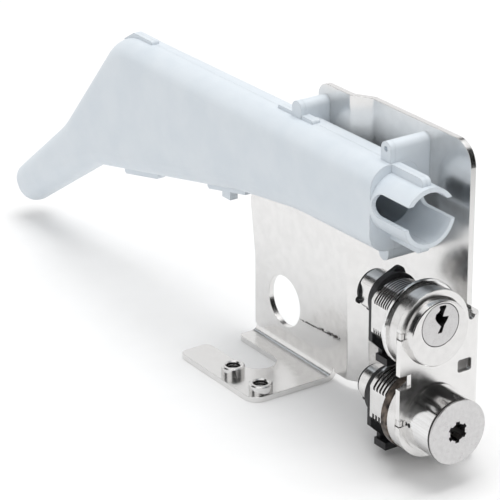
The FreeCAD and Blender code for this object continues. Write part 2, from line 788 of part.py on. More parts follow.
def clip_outlines():
    """The tabs that stand out along the parting line, two above and two below."""
    round_z = "(clip_top_z-clip_corner)"
    brow = [
        ("brow_clip_left_x", "brow_clip_low_z"),
        ("brow_clip_left_x+brow_clip_foot", "brow_clip_low_z-brow_clip_foot"),
        ("brow_clip_bend_x", "duct_top_z-clip_root"),
        ("brow_clip_right_x", "duct_top_z-clip_root"),
        ("brow_clip_right_x", round_z, "ccw", "brow_clip_right_x-clip_corner", round_z),
        ("brow_clip_right_x-clip_corner", "clip_top_z"),
        ("brow_clip_bend_x", "clip_top_z"),
    ]
    top = [
        ("top_clip_left_x", "duct_top_z-clip_root"),
        ("top_clip_right_x", "duct_top_z-clip_root"),
        ("top_clip_right_x", round_z, "ccw", "top_clip_right_x-clip_corner", round_z),
        ("top_clip_right_x-clip_corner", "clip_top_z"),
        ("top_clip_left_x+clip_corner", "clip_top_z", "ccw", "top_clip_left_x+clip_corner", round_z),
        ("top_clip_left_x", round_z),
    ]
    low = [
        ("low_clip_left_x", underside_z("low_clip_left_x") + "+clip_root"),
        ("low_clip_left_x", underside_z("low_clip_left_x") + "-low_clip_drop+clip_corner"),
        ("low_clip_left_x+clip_corner", underside_z("low_clip_left_x+clip_corner") + "-low_clip_drop"),
        ("low_clip_right_x-clip_corner", underside_z("low_clip_right_x-clip_corner") + "-low_clip_drop"),
        ("low_clip_right_x", underside_z("low_clip_right_x") + "-low_clip_drop+clip_corner"),
        ("low_clip_right_x", underside_z("low_clip_right_x") + "+clip_root"),
    ]
    hook = [
        ("hook_clip_left_x", underside_z("hook_clip_left_x") + "+clip_root"),
        ("hook_clip_left_x", underside_z("hook_clip_left_x") + "-low_clip_drop+clip_corner"),
        ("hook_clip_left_x+clip_corner", underside_z("hook_clip_left_x+clip_corner") + "-low_clip_drop"),
        ("hook_x-hook_wide/2", underside_z("hook_x-hook_wide/2") + "-low_clip_drop"),
        ("hook_x-hook_wide/2", "hook_low_z"),
        ("hook_x+hook_wide/2", "hook_low_z"),
        ("hook_x+hook_wide/2", underside_z("hook_x+hook_wide/2") + "-low_clip_drop"),
        ("hook_clip_right_x", underside_z("hook_clip_right_x") + "-low_clip_drop"),
        ("hook_clip_right_x", underside_z("hook_clip_right_x") + "+clip_root"),
    ]
    return {"BrowClip": brow, "TopClip": top, "LowClip": low, "HookClip": hook}


def peg_places():
    """Where pegs of the rear shell enter the front shell's tabs."""
    top_z = "(duct_top_z-clip_root+clip_top_z)/2"
    return [
        ("brow_clip_right_x-peg_inset", top_z),
        ("top_clip_right_x-peg_inset", top_z),
        ("hook_x", underside_z("hook_x") + "-low_clip_drop/2"),
    ]


def make_duct_shell(label, side):
    """One half of the wire duct: hollow trunk, slotted neck, rims and tabs."""
    item = body(label)
    add_trunk(item, side)
    seat = ("parting_y", "neck_z")
    pocket(item, "NeckBore", "YZ_Plane", "shoulder_x-duct_wall-cut_past", "shoulder_x+cut_past",
           shift=seat, loops=[[
               ("0", "neck_inner_r", half_turn(side, "ccw"), "0", "0"),
               ("0", "0-neck_inner_r"),
           ]])
    pad(item, "Neck", "YZ_Plane", "shoulder_x", "neck_end_x", shift=seat, loops=[[
        ("0", "neck_outer_r", half_turn(side, "ccw"), "0", "0"),
        ("0", "0-neck_outer_r"),
        ("0", "0-neck_inner_r", half_turn(side, "cw"), "0", "0"),
        ("0", "neck_inner_r"),
    ]])
    span = {"-": ("parting_y-neck_outer_r-cut_past", "parting_y-slot_start"),
            "+": ("parting_y+slot_start", "parting_y+neck_outer_r+cut_past")}[side]
    slot_root = "shoulder_x+slot_start+slot_half"
    pocket(item, "NeckSlot", "XZ_Plane", *span, shift=("0", "neck_z"), loops=[[
        ("neck_end_x+cut_past", "slot_low_z"),
        ("neck_end_x+cut_past", "slot_high_z"),
        (slot_root, "slot_high_z", "ccw", slot_root, "slot_mid_z"),
        (slot_root, "slot_low_z"),
    ]])
    rim = {"-": ("parting_y-rim_half", "parting_y"), "+": ("parting_y", "parting_y+rim_half")}[side]
    corner_x = "rim_end_x-rim_corner_r"
    for name, sign, turn in (("TopRim", "", "cw"), ("LowRim", "0-", "ccw")):
        reach = sign + "rim_reach"
        corner_z = sign + "(rim_reach-rim_corner_r)"
        root = sign + "(neck_outer_r-rim_root)"
        pad(item, name, "XZ_Plane", *rim, shift=("0", "neck_z"), loops=[[
            ("shoulder_x", root),
            ("shoulder_x", reach),
            (corner_x, reach, turn, corner_x, corner_z),
            ("rim_end_x", corner_z),
            ("rim_end_x", root),
        ]])
    tab = {"-": ("parting_y-clip_half", "parting_y"), "+": ("parting_y", "parting_y+clip_half")}[side]
    for name, loop in clip_outlines().items():
        pad(item, name, "XZ_Plane", *tab, loops=[loop])
    return item


def make_duct_front_shell():
    item = make_duct_shell("duct_front_shell", "-")
    for arm in ARMS:
        pad(item, arm.title() + "Cap", "XZ_Plane", "parting_y-cap_thick", "parting_y",
            loops=[arm_outline(arm)])
    pocket(item, "Dimple", "XZ_Plane", "parting_y-cap_thick-cut_past", "parting_y-cap_thick/2",
           circles=[(ARMS["right"][0], arm_screw_z("right"), "screw_dimple_r")])
    pocket(item, "PegHoles", "XZ_Plane", "parting_y-peg_long-peg_hole_play", "parting_y+cut_past",
           circles=[(x, z, "peg_r+peg_clear") for x, z in peg_places()])


def make_duct_rear_shell():
    item = make_duct_shell("duct_rear_shell", "+")
    add_web(item, "left")
    add_web(item, "right")
    pad(item, "LowArm", "XZ_Plane", "parting_y", ARMS["low"][2], loops=[arm_outline("low")])
    for arm, (place, end, seat) in ARMS.items():
        pocket(item, arm.title() + "Pilot", "XZ_Plane", seat + "-screw_long-pilot_spare", seat + "+1",
               circles=[(place, arm_screw_z(arm), "screw_r+screw_pilot_clear")])
    pad(item, "Pegs", "XZ_Plane", "parting_y-peg_long", "parting_y",
        circles=[(x, z, "peg_r") for x, z in peg_places()])


def make_duct_screws():
    """Three pan-head screws from behind the plate into the arms."""
    item = body("duct_screws")
    for arm, (place, end, seat) in ARMS.items():
        spot = (place, arm_screw_z(arm))
        pad(item, arm.title() + "Shank", "XZ_Plane", seat + "-screw_long", seat + "+sheet_thick",
            circles=[(*spot, "screw_r")])
        pad(item, arm.title() + "Head", "XZ_Plane", seat + "+sheet_thick",
            seat + "+sheet_thick+screw_head_high", circles=[(*spot, "screw_head_r")])


def make_spacer_ring(side, axis_z):
    """Round spacer behind the flange, keyed to it by one tab."""
    item = body(side + "_spacer_ring")
    length = side + "_spacer_long"
    shift = ("0", axis_z)
    pad(item, "Ring", "YZ_Plane", "flange_back_x-" + length, "flange_back_x", shift=shift,
        circles=[("0", "0", "spacer_r"), ("0", "0", "barrel_r+spacer_bore_clear")])
    half = "(tab_half-tab_gap)"
    pad(item, "Tab", "YZ_Plane", "flange_back_x-tab_root", "0-tab_gap", shift=shift, loops=[[
        ("flange_left_y+tab_gap", "tab_z-" + half),
        ("tab_seat_y", "tab_z-" + half, "ccw", "tab_seat_y", "tab_z"),
        ("tab_seat_y", "tab_z+" + half),
        ("flange_left_y+tab_gap", "tab_z+" + half),
    ]])


def make_ring_nut(side, axis_z):
    """Thin round nut that clamps the spacer and the flange against the lock's head."""
    item = body(side + "_ring_nut")
    front = "flange_back_x-%s_spacer_long" % side
    back = front + "-%s_nut_long" % side
    radius = side + "_nut_r"
    pad(item, "Ring", "YZ_Plane", back, front, shift=("0", axis_z),
        circles=[("0", "0", radius), ("0", "0", "barrel_r+nut_thread_clear")])
    dress(item, "Chamfer", "Edges", "nut_edge_chamfer",
          circle_at(back, radius), circle_at(front, radius))


def make_stop_plate(side, axis_z, rise):
    """Black plate on the barrel's rear end, staked on two nibs, with a bent foot."""
    item = body(side + "_stop_plate")
    shift = ("0", axis_z)
    shoulder = "(%s+sqrt(stop_top_r^2-stop_half^2))" % rise
    pad(item, "Plate", "YZ_Plane", "stop_back_x", "0-barrel_long", shift=shift, loops=[[
        ("0-stem_half", "stop_foot_low_z"),
        ("stem_half", "stop_foot_low_z"),
        ("stem_half", "stop_low_z"),
        ("stop_half", "stop_chamfer_z"),
        ("stop_half", shoulder, "ccw", "0", rise),
        ("0-stop_half", shoulder),
        ("0-stop_half", "stop_chamfer_z"),
        ("0-stem_half", "stop_low_z"),
    ]])
    pad(item, "Foot", "YZ_Plane", "stop_back_x", "stop_foot_front_x", shift=shift, loops=[
        box("0-stop_foot_half", "stop_foot_low_z", "stop_foot_half", "stop_foot_high_z")])
    pocket(item, "Holes", "YZ_Plane", "stop_back_x-cut_past", "cut_past-barrel_long", shift=shift, circles=[
        ("0", rise, side + "_neck_r+neck_clear"),
        ("nib_y", "nib_z", "nib_r"),
        ("0-nib_y", "nib_z", "nib_r"),
    ])


def make_cam(side, rotor_z):
    """Black cam: a round hub with one nose, turned with the rotor by two flats."""
    item = body(side + "_cam")
    shift = ("0", rotor_z)
    angle = "(%s_nose_angle*1deg)" % side
    reach = "(cam_tip_r-cam_nose_r)"
    nose_y = "%s*sin(%s)" % (reach, angle)
    nose_z = "%s*cos(%s)" % (reach, angle)
    hub = side + "_hub_r"
    spread = "acos((%s-cam_nose_r)/%s)" % (hub, reach)
    first = "(%s+%s)" % (angle, spread)
    last = "(%s-%s)" % (angle, spread)
    pad(item, "Hub", "YZ_Plane", "cam_back_x", "cam_front_x", shift=shift, loops=[[
        ("%s*sin%s" % (hub, first), "%s*cos%s" % (hub, first)),
        (nose_y + "+cam_nose_r*sin%s" % first, nose_z + "+cam_nose_r*cos%s" % first,
         "ccw", nose_y, nose_z),
        (nose_y + "+cam_nose_r*sin%s" % last, nose_z + "+cam_nose_r*cos%s" % last),
        ("%s*sin%s" % (hub, last), "%s*cos%s" % (hub, last), "ccw", "0", "0"),
    ]])
    pocket(item, "Drive", "YZ_Plane", "cam_back_x-cut_past", "cam_front_x+cut_past", shift=shift,
           loops=[double_d("(spigot_r+spigot_clear)", "(spigot_flat+spigot_clear)")])


def make_tail_sleeve(side, rotor_z, drawing):
    """Bright sleeve that the snap ring presses against the cam."""
    item = body(side + "_tail_sleeve")
    pad(item, "Tube", "YZ_Plane", "sleeve_back_x", "cam_back_x", shift=("0", rotor_z), **drawing)
    pocket(item, "Drive", "YZ_Plane", "sleeve_back_x-cut_past", "cam_back_x+cut_past", shift=("0", rotor_z),
           loops=[double_d("(spigot_r+spigot_clear)", "(spigot_flat+spigot_clear)")])


def make_circlip(side, rotor_z):
    """Open snap ring with two ears, in the groove of the rotor's spigot."""
    item = body(side + "_circlip")
    shift = ("0", rotor_z)
    radius = side + "_clip_r"

    def spot(reach, angle):
        turn = "(%s_clip_turn+%s)" % (side, angle)
        return "0-(%s)*sin(%s)" % (reach, turn), "0-(%s)*cos(%s)" % (reach, turn)

    ears = [spot(radius, "clip_ear_angle"), spot(radius, "0-clip_ear_angle")]
    pad(item, "Ring", "YZ_Plane", "clip_back_x", "sleeve_back_x", shift=shift,
        circles=[("0", "0", radius), ("0", "0", "clip_groove_r+clip_groove_play")])
    for name, ear in zip(("LeftEar", "RightEar"), ears):
        pad(item, name, "YZ_Plane", "clip_back_x", "sleeve_back_x", shift=shift,
            circles=[(*ear, "clip_ear_r")])
    pocket(item, "Inside", "YZ_Plane", "clip_back_x-cut_past", "sleeve_back_x+cut_past", shift=shift,
           circles=[("0", "0", "clip_groove_r+clip_groove_play")])
    reach = radius + "+2*clip_ear_r"
    pocket(item, "Gap", "YZ_Plane", "clip_back_x-cut_past", "sleeve_back_x+cut_past", shift=shift, loops=[[
        ("0", "0"), spot(reach, "clip_gap_angle"), spot(reach, "0-clip_gap_angle"),
    ]])
    pocket(item, "EarHoles", "YZ_Plane", "clip_back_x-cut_past", "sleeve_back_x+cut_past", shift=shift,
           circles=[(*ear, "clip_hole_r") for ear in ears])


def add_spigot(item, side, rotor_z):
    """The rotor's rear end: round neck in the stop plate, flats, and a ring groove."""
    shift = ("0", rotor_z)
    pad(item, "Neck", "YZ_Plane", "cam_front_x", "shoulder_back_x", shift=shift,
        circles=[("0", "0", side + "_neck_r")])
    pad(item, "Spigot", "YZ_Plane", "spigot_back_x", "cam_front_x", shift=shift,
        loops=[double_d("spigot_r", "spigot_flat")])
    pocket(item, "Groove", "YZ_Plane", "clip_back_x-clip_groove_play", "sleeve_back_x+clip_groove_play",
           shift=shift, circles=[("0", "0", "clip_groove_r"), ("0", "0", "spigot_r+cut_past")])


def add_barrel(item, axis_z):
    """The lock's threaded body with two flats, and its two staking nibs."""
    pad(item, "Barrel", "YZ_Plane", "0-barrel_long", "0", shift=("0", axis_z),
        loops=[double_d("barrel_r", "barrel_flat")])
    for name, sign in (("LeftNib", "0-"), ("RightNib", "")):
        pad(item, name, "YZ_Plane", "stop_back_x", "0-barrel_long", shift=("0", axis_z),
            circles=[(sign + "nib_y", "nib_z", "nib_r")])


CHAMBERS = range(5)
# How far below the plug's axis each key pin ends: the depths of the key's cuts
KEY_PIN_TIPS = (1.7, 2.3, 1.4, 2.0, 2.6)
# Pin stacks of the lower lock, and points of its star-shaped keyhole
RING_PINS = 6


def chamber_x(index):
    return "0-chamber_first-%d*(chamber_pitch)" % index


def make_upper_housing():
    item = body("upper_lock_housing")
    add_barrel(item, "upper_z")
    revolve(item, "Head", ("0", "upper_z"), [
        ("0", "0"), ("upper_head_long", "0"), ("upper_head_long", "upper_face_r"), ("0", "upper_head_r"),
    ])
    pocket(item, "PlugBore", "YZ_Plane", "0-barrel_long-cut_past", "upper_head_long+cut_past",
           shift=("0", "upper_rotor_z"), circles=[("0", "0", "plug_bore_r")])
    pocket(item, "Chambers", "XY_Plane", "upper_rotor_z-chamber_floor", "upper_rotor_z-plug_r/2",
           circles=[(chamber_x(index), "0", "chamber_r") for index in CHAMBERS])


# Half-moon warded keyway of the flat key, seen on the face, from its lower tip round
KEYWAY = [
    ("0-1.0", "0-2.8"), ("0.7", "0-2.8"), ("1.5", "0-0.4"), ("2.8", "1.3"), ("3.2", "2.3"),
    ("0.9", "2.7"), ("1.5", "4.5"), ("2.2", "5.8"), ("2.0", "6.4"), ("0-0.2", "6.6"),
    ("0-0.7", "6.2"), ("0-0.2", "5.4"), ("0-0.7", "4.7"), ("0-1.9", "4.0"), ("0-2.2", "2.7"),
    ("0-1.5", "1.4"), ("0.2", "0-0.6"),
]


def make_upper_plug():
    """The plug that the flat key turns, with the feet of its pin chambers."""
    item = body("upper_plug")
    shift = ("0", "upper_rotor_z")
    pad(item, "Plug", "YZ_Plane", "shoulder_back_x", "upper_head_long", shift=shift,
        circles=[("0", "0", "plug_r")])
    add_spigot(item, "upper", "upper_rotor_z")
    pocket(item, "Keyway", "YZ_Plane", "upper_head_long-keyway_depth", "upper_head_long+cut_past",
           shift=shift, loops=[KEYWAY])
    pocket(item, "Chambers", "XY_Plane", "upper_rotor_z-plug_r-cut_past", "upper_rotor_z-chamber_head",
           circles=[(chamber_x(index), "0", "chamber_r") for index in CHAMBERS])


def make_upper_pins():
    """Key pins, drivers and springs below the plug, at rest at its edge."""
    item = body("upper_key_pins")
    for index, tip in zip(CHAMBERS, KEY_PIN_TIPS):
        pad(item, "Pin%d" % (index + 1), "XY_Plane", "upper_rotor_z-key_pin_foot",
            "upper_rotor_z-%s" % tip, circles=[(chamber_x(index), "0", "pin_r")])
    stack = (
        ("upper_driver_pins", "spring_head", "driver_head"),
        ("upper_pin_springs", "chamber_floor", "spring_head"),
    )
    for label, low, high in stack:
        piece = body(label)
        pad(piece, "Stack", "XY_Plane", "upper_rotor_z-" + low, "upper_rotor_z-" + high,
            circles=[(chamber_x(index), "0", "pin_r") for index in CHAMBERS])


def radial_pocket(item, name, low, high):
    """Six round holes square to X, at equal angles about the lower lock's axis."""
    profile = outline(item, name + "Outline", "XY_Plane", low,
                      circles=[("ring_pin_x", "0", "ring_chamber_r")])
    feature = item.newObject("PartDesign::Pocket", item.Label + "_" + name)
    feature.Profile = profile
    feature.Reversed = True
    bind(feature, "Length", "(%s)-(%s)" % (high, low))
    axis = outline(item, name + "Axis", "XY_Plane", "0")
    return around(item, name + "Round", feature, axis, RING_PINS)


def make_radial_pins(label, low, high):
    """Six like pins, square to X, at equal angles about the lower lock's axis."""
    item = body(label)
    feature = pad(item, "Pin", "XY_Plane", low, high,
                  circles=[("ring_pin_x", "0", "ring_pin_r")])
    axis = outline(item, "Axis", "XY_Plane", "0")
    around(item, "Round", feature, axis, RING_PINS)


def make_lower_housing():
    item = body("lower_lock_housing")
    add_barrel(item, "0")
    pad(item, "Base", "YZ_Plane", "0", "lower_base_long", circles=[("0", "0", "lower_base_r")])
    pad(item, "Nose", "YZ_Plane", "lower_base_long", "nose_end_x", circles=[("0", "0", "nose_r")])
    pocket(item, "RotorBore", "YZ_Plane", "0-barrel_long-cut_past", "nose_end_x+cut_past",
           circles=[("0", "0", "rotor_bore_r")])
    pocket(item, "PinSeat", "XZ_Plane", "0-collar_r", "collar_pin_depth-collar_r",
           circles=[("collar_pin_x", "collar_pin_z", "collar_pin_r")])
    radial_pocket(item, "Chambers", "rotor_r-cut_past", "ring_chamber_end")


def make_collar():
    """Polished collar over the lower lock's nose, with the pin that fixes it."""
    item = body("lower_collar")
    pad(item, "Sleeve", "YZ_Plane", "lower_base_long", "collar_end_x",
        circles=[("0", "0", "collar_r"), ("0", "0", "collar_bore_r")])
    dress(item, "Chamfer", "Lip", "nut_edge_chamfer", circle_at("collar_end_x", "collar_r"))
    pocket(item, "PinHole", "XZ_Plane", "0-collar_r-cut_past", "0-nose_r/2",
           circles=[("collar_pin_x", "collar_pin_z", "collar_pin_r")])
    pin = body("lower_collar_pin")
    pad(pin, "Pin", "XZ_Plane", "0-collar_r", "collar_pin_depth-collar_r",
        circles=[("collar_pin_x", "collar_pin_z", "collar_pin_r")])


def make_lower_rotor():
    """Face disc with the six-pointed keyhole, and the shaft behind it."""
    item = body("lower_rotor")
    front = "collar_end_x+end_play"
    pad(item, "Disc", "YZ_Plane", front, front + "+disc_thick", circles=[("0", "0", "disc_r")])
    pad(item, "Step", "YZ_Plane", front + "-disc_step_long", front,
        circles=[("0", "0", "disc_step_r")])
    pad(item, "Shaft", "YZ_Plane", "shoulder_back_x", front + "-disc_step_long",
        circles=[("0", "0", "rotor_r")])
    add_spigot(item, "lower", "0")
    face = front + "+disc_thick"
    pocket(item, "Keyhole", "YZ_Plane", face + "-star_depth", face + "+1",
           circles=[("0", "0", "star_r")])
    point = pocket(item, "Point", "YZ_Plane", face + "-star_depth", face + "+1", loops=[
        box("0-star_slot_wide/2", "star_r/2", "star_slot_wide/2", "star_tip_r")])
    axis = outline(item, "PointAxis", "XY_Plane", "0")
    around(item, "Points", point, axis, RING_PINS)
    radial_pocket(item, "Chambers", "star_r-cut_past", "rotor_r+cut_past")


def make_locks():
    """Both locks, on their axes through the flange."""
    make_upper_housing()
    make_upper_plug()
    make_upper_pins()
    make_lower_housing()
    make_collar()
    make_lower_rotor()
    make_radial_pins("lower_key_pins", "ring_pin_tip", "ring_pin_foot")
    make_radial_pins("lower_driver_pins", "ring_driver_head", "ring_spring_foot")
    make_radial_pins("lower_pin_springs", "ring_spring_foot", "ring_chamber_end")
    axes = (("upper", "upper_z", "rotor_rise", "upper_rotor_z"), ("lower", "0", "0", "0"))
    for side, axis_z, rise, rotor_z in axes:
        make_spacer_ring(side, axis_z)
        make_ring_nut(side, axis_z)
        make_stop_plate(side, axis_z, rise)
        make_cam(side, rotor_z)
        make_circlip(side, rotor_z)
    make_tail_sleeve("upper", "upper_rotor_z",
                     {"loops": [double_d("upper_sleeve_r", "upper_sleeve_flat")]})
    make_tail_sleeve("lower", "0", {"circles": [("0", "0", "lower_sleeve_r")]})


make_bracket()
make_press_nuts()
make_duct_front_shell()
make_duct_rear_shell()
make_duct_screws()
make_locks()
doc.recompute()

for item in doc.Objects:
    if "Invalid" in item.State or "Error" in item.State:
        raise RuntimeError("%s did not build: %s" % (item.Label, item.getStatusString()))
pieces = [item for item in doc.Objects if item.TypeId == "PartDesign::Body"]
for item in pieces:
    if item.Shape.isNull() or not item.Shape.isValid():
        raise RuntimeError("%s has no valid shape" % item.Label)
for item in pieces:
    item.Shape.exportStep(os.path.join("parts", item.Label + ".step"))
    print(item.Label, len(item.Shape.Solids), round(item.Shape.Volume, 1))
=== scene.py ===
import math

import bmesh
import bpy
from bpy.props import FloatProperty, FloatVectorProperty, PointerProperty
from mathutils import Matrix, Vector


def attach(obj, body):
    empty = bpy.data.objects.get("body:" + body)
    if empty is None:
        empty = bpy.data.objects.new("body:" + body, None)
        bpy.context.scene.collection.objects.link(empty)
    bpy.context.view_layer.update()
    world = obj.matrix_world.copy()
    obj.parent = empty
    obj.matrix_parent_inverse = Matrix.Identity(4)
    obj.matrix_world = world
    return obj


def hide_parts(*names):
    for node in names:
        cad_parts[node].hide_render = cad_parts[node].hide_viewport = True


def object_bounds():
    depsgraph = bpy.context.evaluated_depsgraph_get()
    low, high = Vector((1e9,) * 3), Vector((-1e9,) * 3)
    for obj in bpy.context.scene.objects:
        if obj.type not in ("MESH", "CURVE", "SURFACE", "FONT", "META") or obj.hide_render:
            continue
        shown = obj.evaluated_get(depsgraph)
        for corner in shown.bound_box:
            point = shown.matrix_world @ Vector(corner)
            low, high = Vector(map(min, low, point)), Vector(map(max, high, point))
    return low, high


bl_info = {
    "name": "Key Interlock Lock",
    "version": (1, 0, 0),
    "blender": (4, 5, 0),
    "location": "View3D > Sidebar > Interlock Lock",
    "description": "Dresses the two cam locks, their steel bracket and the moulded wire duct",
    "category": "Object",
}

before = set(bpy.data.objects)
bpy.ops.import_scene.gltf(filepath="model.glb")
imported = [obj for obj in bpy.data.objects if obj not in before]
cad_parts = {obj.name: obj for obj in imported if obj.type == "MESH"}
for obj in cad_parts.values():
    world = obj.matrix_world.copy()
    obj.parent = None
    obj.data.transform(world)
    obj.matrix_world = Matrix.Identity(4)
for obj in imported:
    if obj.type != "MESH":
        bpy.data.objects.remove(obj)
CAD_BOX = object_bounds()
MM = 0.001


def linear(hex_code):
    """The linear red, green and blue of an sRGB hex colour."""
    parts = [int(hex_code[i:i + 2], 16) / 255 for i in (1, 3, 5)]
    return tuple(p / 12.92 if p <= 0.04045 else ((p + 0.055) / 1.055) ** 2.4 for p in parts)


def colour(name, about, hex_code):
    """A property that holds one colour."""
    return FloatVectorProperty(
        name=name, description=about, subtype="COLOR", min=0, max=1, default=linear(hex_code))


def length(name, about, millimetres):
    """A property that holds one length, given in millimetres and kept in metres."""
    return FloatProperty(
        name=name, description=about, unit="LENGTH", precision=5, default=millimetres * MM)


def number(name, about, amount):
    """A property that holds one plain amount."""
    return FloatProperty(name=name, description=about, min=0, default=amount)


class LOCK_PG_colours(bpy.types.PropertyGroup):
    """Colours of the real materials, and of the painted shade in grooves, recesses and gaps."""
    sheet: colour("Sheet", "Satin stainless steel of the bracket", "#E8E7E6")
    sheet_grain: colour("Sheet grain", "Darker mottling in the sheet and the platings", "#E1E0DF")
    scuff: colour("Scuff", "Dark streak rubbed into the plate", "#332F2D")
    duct: colour("Duct", "Moulded plastic of the wire duct", "#D9E0E6")
    duct_shade: colour("Duct shade", "Cooler tone in the plastic's clouding", "#D3DBE2")
    nickel: colour("Nickel", "Plating of the lock bodies", "#DBDAD9")
    chrome: colour("Chrome", "Plating of the collar and the thin nut", "#EBEBEB")
    face: colour("Face", "Satin nickel of the two key faces", "#D3D2D2")
    face_shade: colour("Face shade", "Darker turning in the key faces", "#C8C7C7")
    zinc: colour("Zinc", "Plating of nuts, screws and sleeves", "#E0DFDE")
    bronze: colour("Bronze", "Brown passivated lower nut", "#746A62")
    bronze_shade: colour("Bronze shade", "Darker clouding in the brown nut", "#332F2D")
    # Oxide is also the darker tone of the painted shade in grooves, recesses and gaps
    oxide: colour("Oxide", "Black oxide on cams and stop plates", "#19191B")
    spring: colour("Spring steel", "Dark snap rings", "#2E2E30")
    brass: colour("Brass", "Turned pins and drivers", "#C9A45C")
    painted_shade: colour("Painted shade", "Painted shade in thread grooves and round the plug", "#231F1D")


class LOCK_PG_sizes(bpy.types.PropertyGroup):
    """Sizes of the pieces that are built here, and places from the lower lock's axis."""
    upper_z: length("Upper lock height", "Upper barrel's axis above the lower one", 30.47)
    rotor_rise: length("Plug rise", "Upper plug's axis above its barrel's", 3.1)
    barrel_r: length("Barrel radius", "Crests of both threads", 11.0)
    barrel_flat: length("Barrel flat", "From the axis to each flat", 9.5)
    barrel_long: length("Barrel length", "Behind the front of the flange", 20.5)
    rear_land: length("Rear land", "Plain end behind the thread", 1.2)
    upper_bore_r: length("Upper bore", "Radius of the plug's bore", 7.24)
    lower_bore_r: length("Lower bore", "Radius of the rotor's bore", 6.25)
    upper_pitch: length("Upper pitch", "Fine thread of the upper lock", 1.1)
    upper_groove: length("Upper groove", "Depth of the fine thread", 0.5)
    upper_thread_end: length("Upper thread end", "Front end of the fine thread", -6.0)
    lower_pitch: length("Lower pitch", "Coarse thread of the lower lock", 1.6)
    lower_groove: length("Lower groove", "Depth of the coarse thread", 0.7)
    lower_thread_end: length("Lower thread end", "Front end of the coarse thread", -7.5)
    head_r: length("Head radius", "Upper head at the flange, and lower base", 11.7)
    head_face_r: length("Head face radius", "Upper head at its face", 11.1)
    head_long: length("Head length", "Upper head in front of the flange", 2.96)
    head_edge: length("Head edge", "Chamfer round the face", 0.25)
    seam_wide: length("Seam width", "Dark chamfer round the plug", 0.22)
    seam_deep: length("Seam depth", "How deep that chamfer goes", 0.4)
    base_long: length("Base length", "Lower base in front of the flange", 1.0)
    nose_r: length("Nose radius", "Under the collar", 9.4)
    nose_end: length("Nose end", "Front of the lower body", 10.7)
    nib_r: length("Nib radius", "Staked nibs behind the barrel", 1.0)
    nib_y: length("Nib offset", "To each side of the axis", 5.0)
    nib_drop: length("Nib drop", "Below the axis", 7.2)
    stop_thick: length("Stop plate", "Thickness that the nibs pass through", 2.0)
    collar_end: length("Collar end", "Front rim of the collar", 12.2)
    shade_ring_bore_r: length("Shade ring bore", "Inside of the painted shade ring", 9.6)
    shade_ring_r: length("Shade ring radius", "Outside of the painted shade ring", 10.98)
    shade_ring_back: length("Shade ring back", "Lip over the collar's chamfer", 11.55)
    shade_ring_front: length("Shade ring front", "Against the face disc", 12.46)
    nut_mid_x: length("Nut middle", "Middle of the two press nuts along X", -85.9)
    nut_y: length("Nut line", "Line of the two press nuts along Y", -13.55)
    nut_spacing: length("Nut spacing", "Between the two press nuts", 17.0)
    nut_r: length("Nut radius", "Head of a press nut", 4.15)
    nut_shank_r: length("Nut shank", "Part inside the sheet", 3.3)
    nut_bore_r: length("Nut bore", "Crests of the nut's thread", 2.5)
    nut_pitch: length("Nut pitch", "Thread of a press nut", 1.0)
    nut_groove: length("Nut groove", "Depth of the nut's thread", 0.35)
    nut_top_z: length("Nut top", "Height of a press nut's face", -15.4)
    foot_top_z: length("Foot top", "Height of the foot's upper face", -18.4)
    foot_low_z: length("Foot underside", "Height of the foot's lower face", -20.4)
    nut_edge: length("Nut edge", "Chamfer of a press nut", 0.4)
    screw_r: length("Screw radius", "Shank of a duct screw", 1.4)
    screw_long: length("Screw length", "In the duct's arm", 8.0)
    screw_head_r: length("Screw head", "Pan head behind the plate", 2.8)
    screw_head_high: length("Screw head height", "Pan head behind the plate", 1.6)
    screw_cross_long: length("Cross length", "Half length of the head's cross", 1.35)
    screw_cross_wide: length("Cross width", "Half width of the head's cross", 0.36)
    screw_cross_deep: length("Cross depth", "Depth of the head's cross", 0.9)
    sheet_thick: length("Sheet", "Thickness of the bracket", 2.0)


class LOCK_PG_stage(bpy.types.PropertyGroup):
    """Floor, screens and light."""
    floor: colour("Floor", "Pale paper under the lock", "#F7F7F7")
    floor_shade: colour("Floor shade", "Fibre clouding in the paper", "#F4F4F4")
    velvet: colour("Velvet", "Black screens that only reflections see", "#191919")
    size: length("Floor size", "Side of the floor", 6000)
    key_size: length("Key light size", "Across the large lamp above", 1000)
    key_power: number("Key light", "Power of the large lamp above", 10.0)
    sky: number("Sky", "Even light of the white studio", 0.74)


# The lower lock's axis at the front of the flange, in the row frame
LOCK_ORIGIN = Vector((85.9, 13.55, 20.4)) * MM
# Seats of the three duct screws, in millimetres from there: X, Z and the plate's front face in Y
SCREW_SEATS = ((-78.0, 81.25, 13.4), (-29.0, 82.25, 17.4), (-29.2, 46.45, 17.4))
# Point of a duct screw: where it starts along the shank and how wide it ends, as shares
POINT_START = 0.85
POINT_END = 0.4
# Corners of a screw's pan head, as shares of the head's height and radius
PAN_HEAD = ((0.35, 1.0), (0.75, 0.85), (1.0, 0.6))
# Share of its width that the cross keeps at its bottom
CROSS_TAPER = 0.6
# Corners of the painted shade ring's section: how far each lies in from the rim, as shares of its width
SHADE_RING_HEEL = 0.54
SHADE_RING_LIP = 0.18
SHADE_RING_BACK_EDGE = 0.09
SHADE_RING_FRONT_EDGE = 0.054
# Shares of a thread's pitch that its crest and each flank take
FINE_FORM = (0.36, 0.28)
COARSE_FORM = (0.42, 0.18)
# Bands of one pitch that get painted shade: the flank that follows the crest, and the groove's bottom
SHADED_BANDS = (1, 2)
# Points round a large and a small circle
ROUND = 96
SMALL_ROUND = 48
# Points closer than this are one, and edges that bend more than this stay sharp
WELD = 0.0002 * MM
CREASE = math.radians(32)
# Keeps a division by the sine or cosine of a turn from failing
TINY = 1e-9

# The noise that clouds the materials, and its values where roughness and colour reach their limits
CLOUD_DETAIL = 5.0
CLOUD_ROUGHNESS = 0.55
SHEEN_LIMITS = (0.3, 0.7)
TONE_LIMITS = (0.35, 0.62)

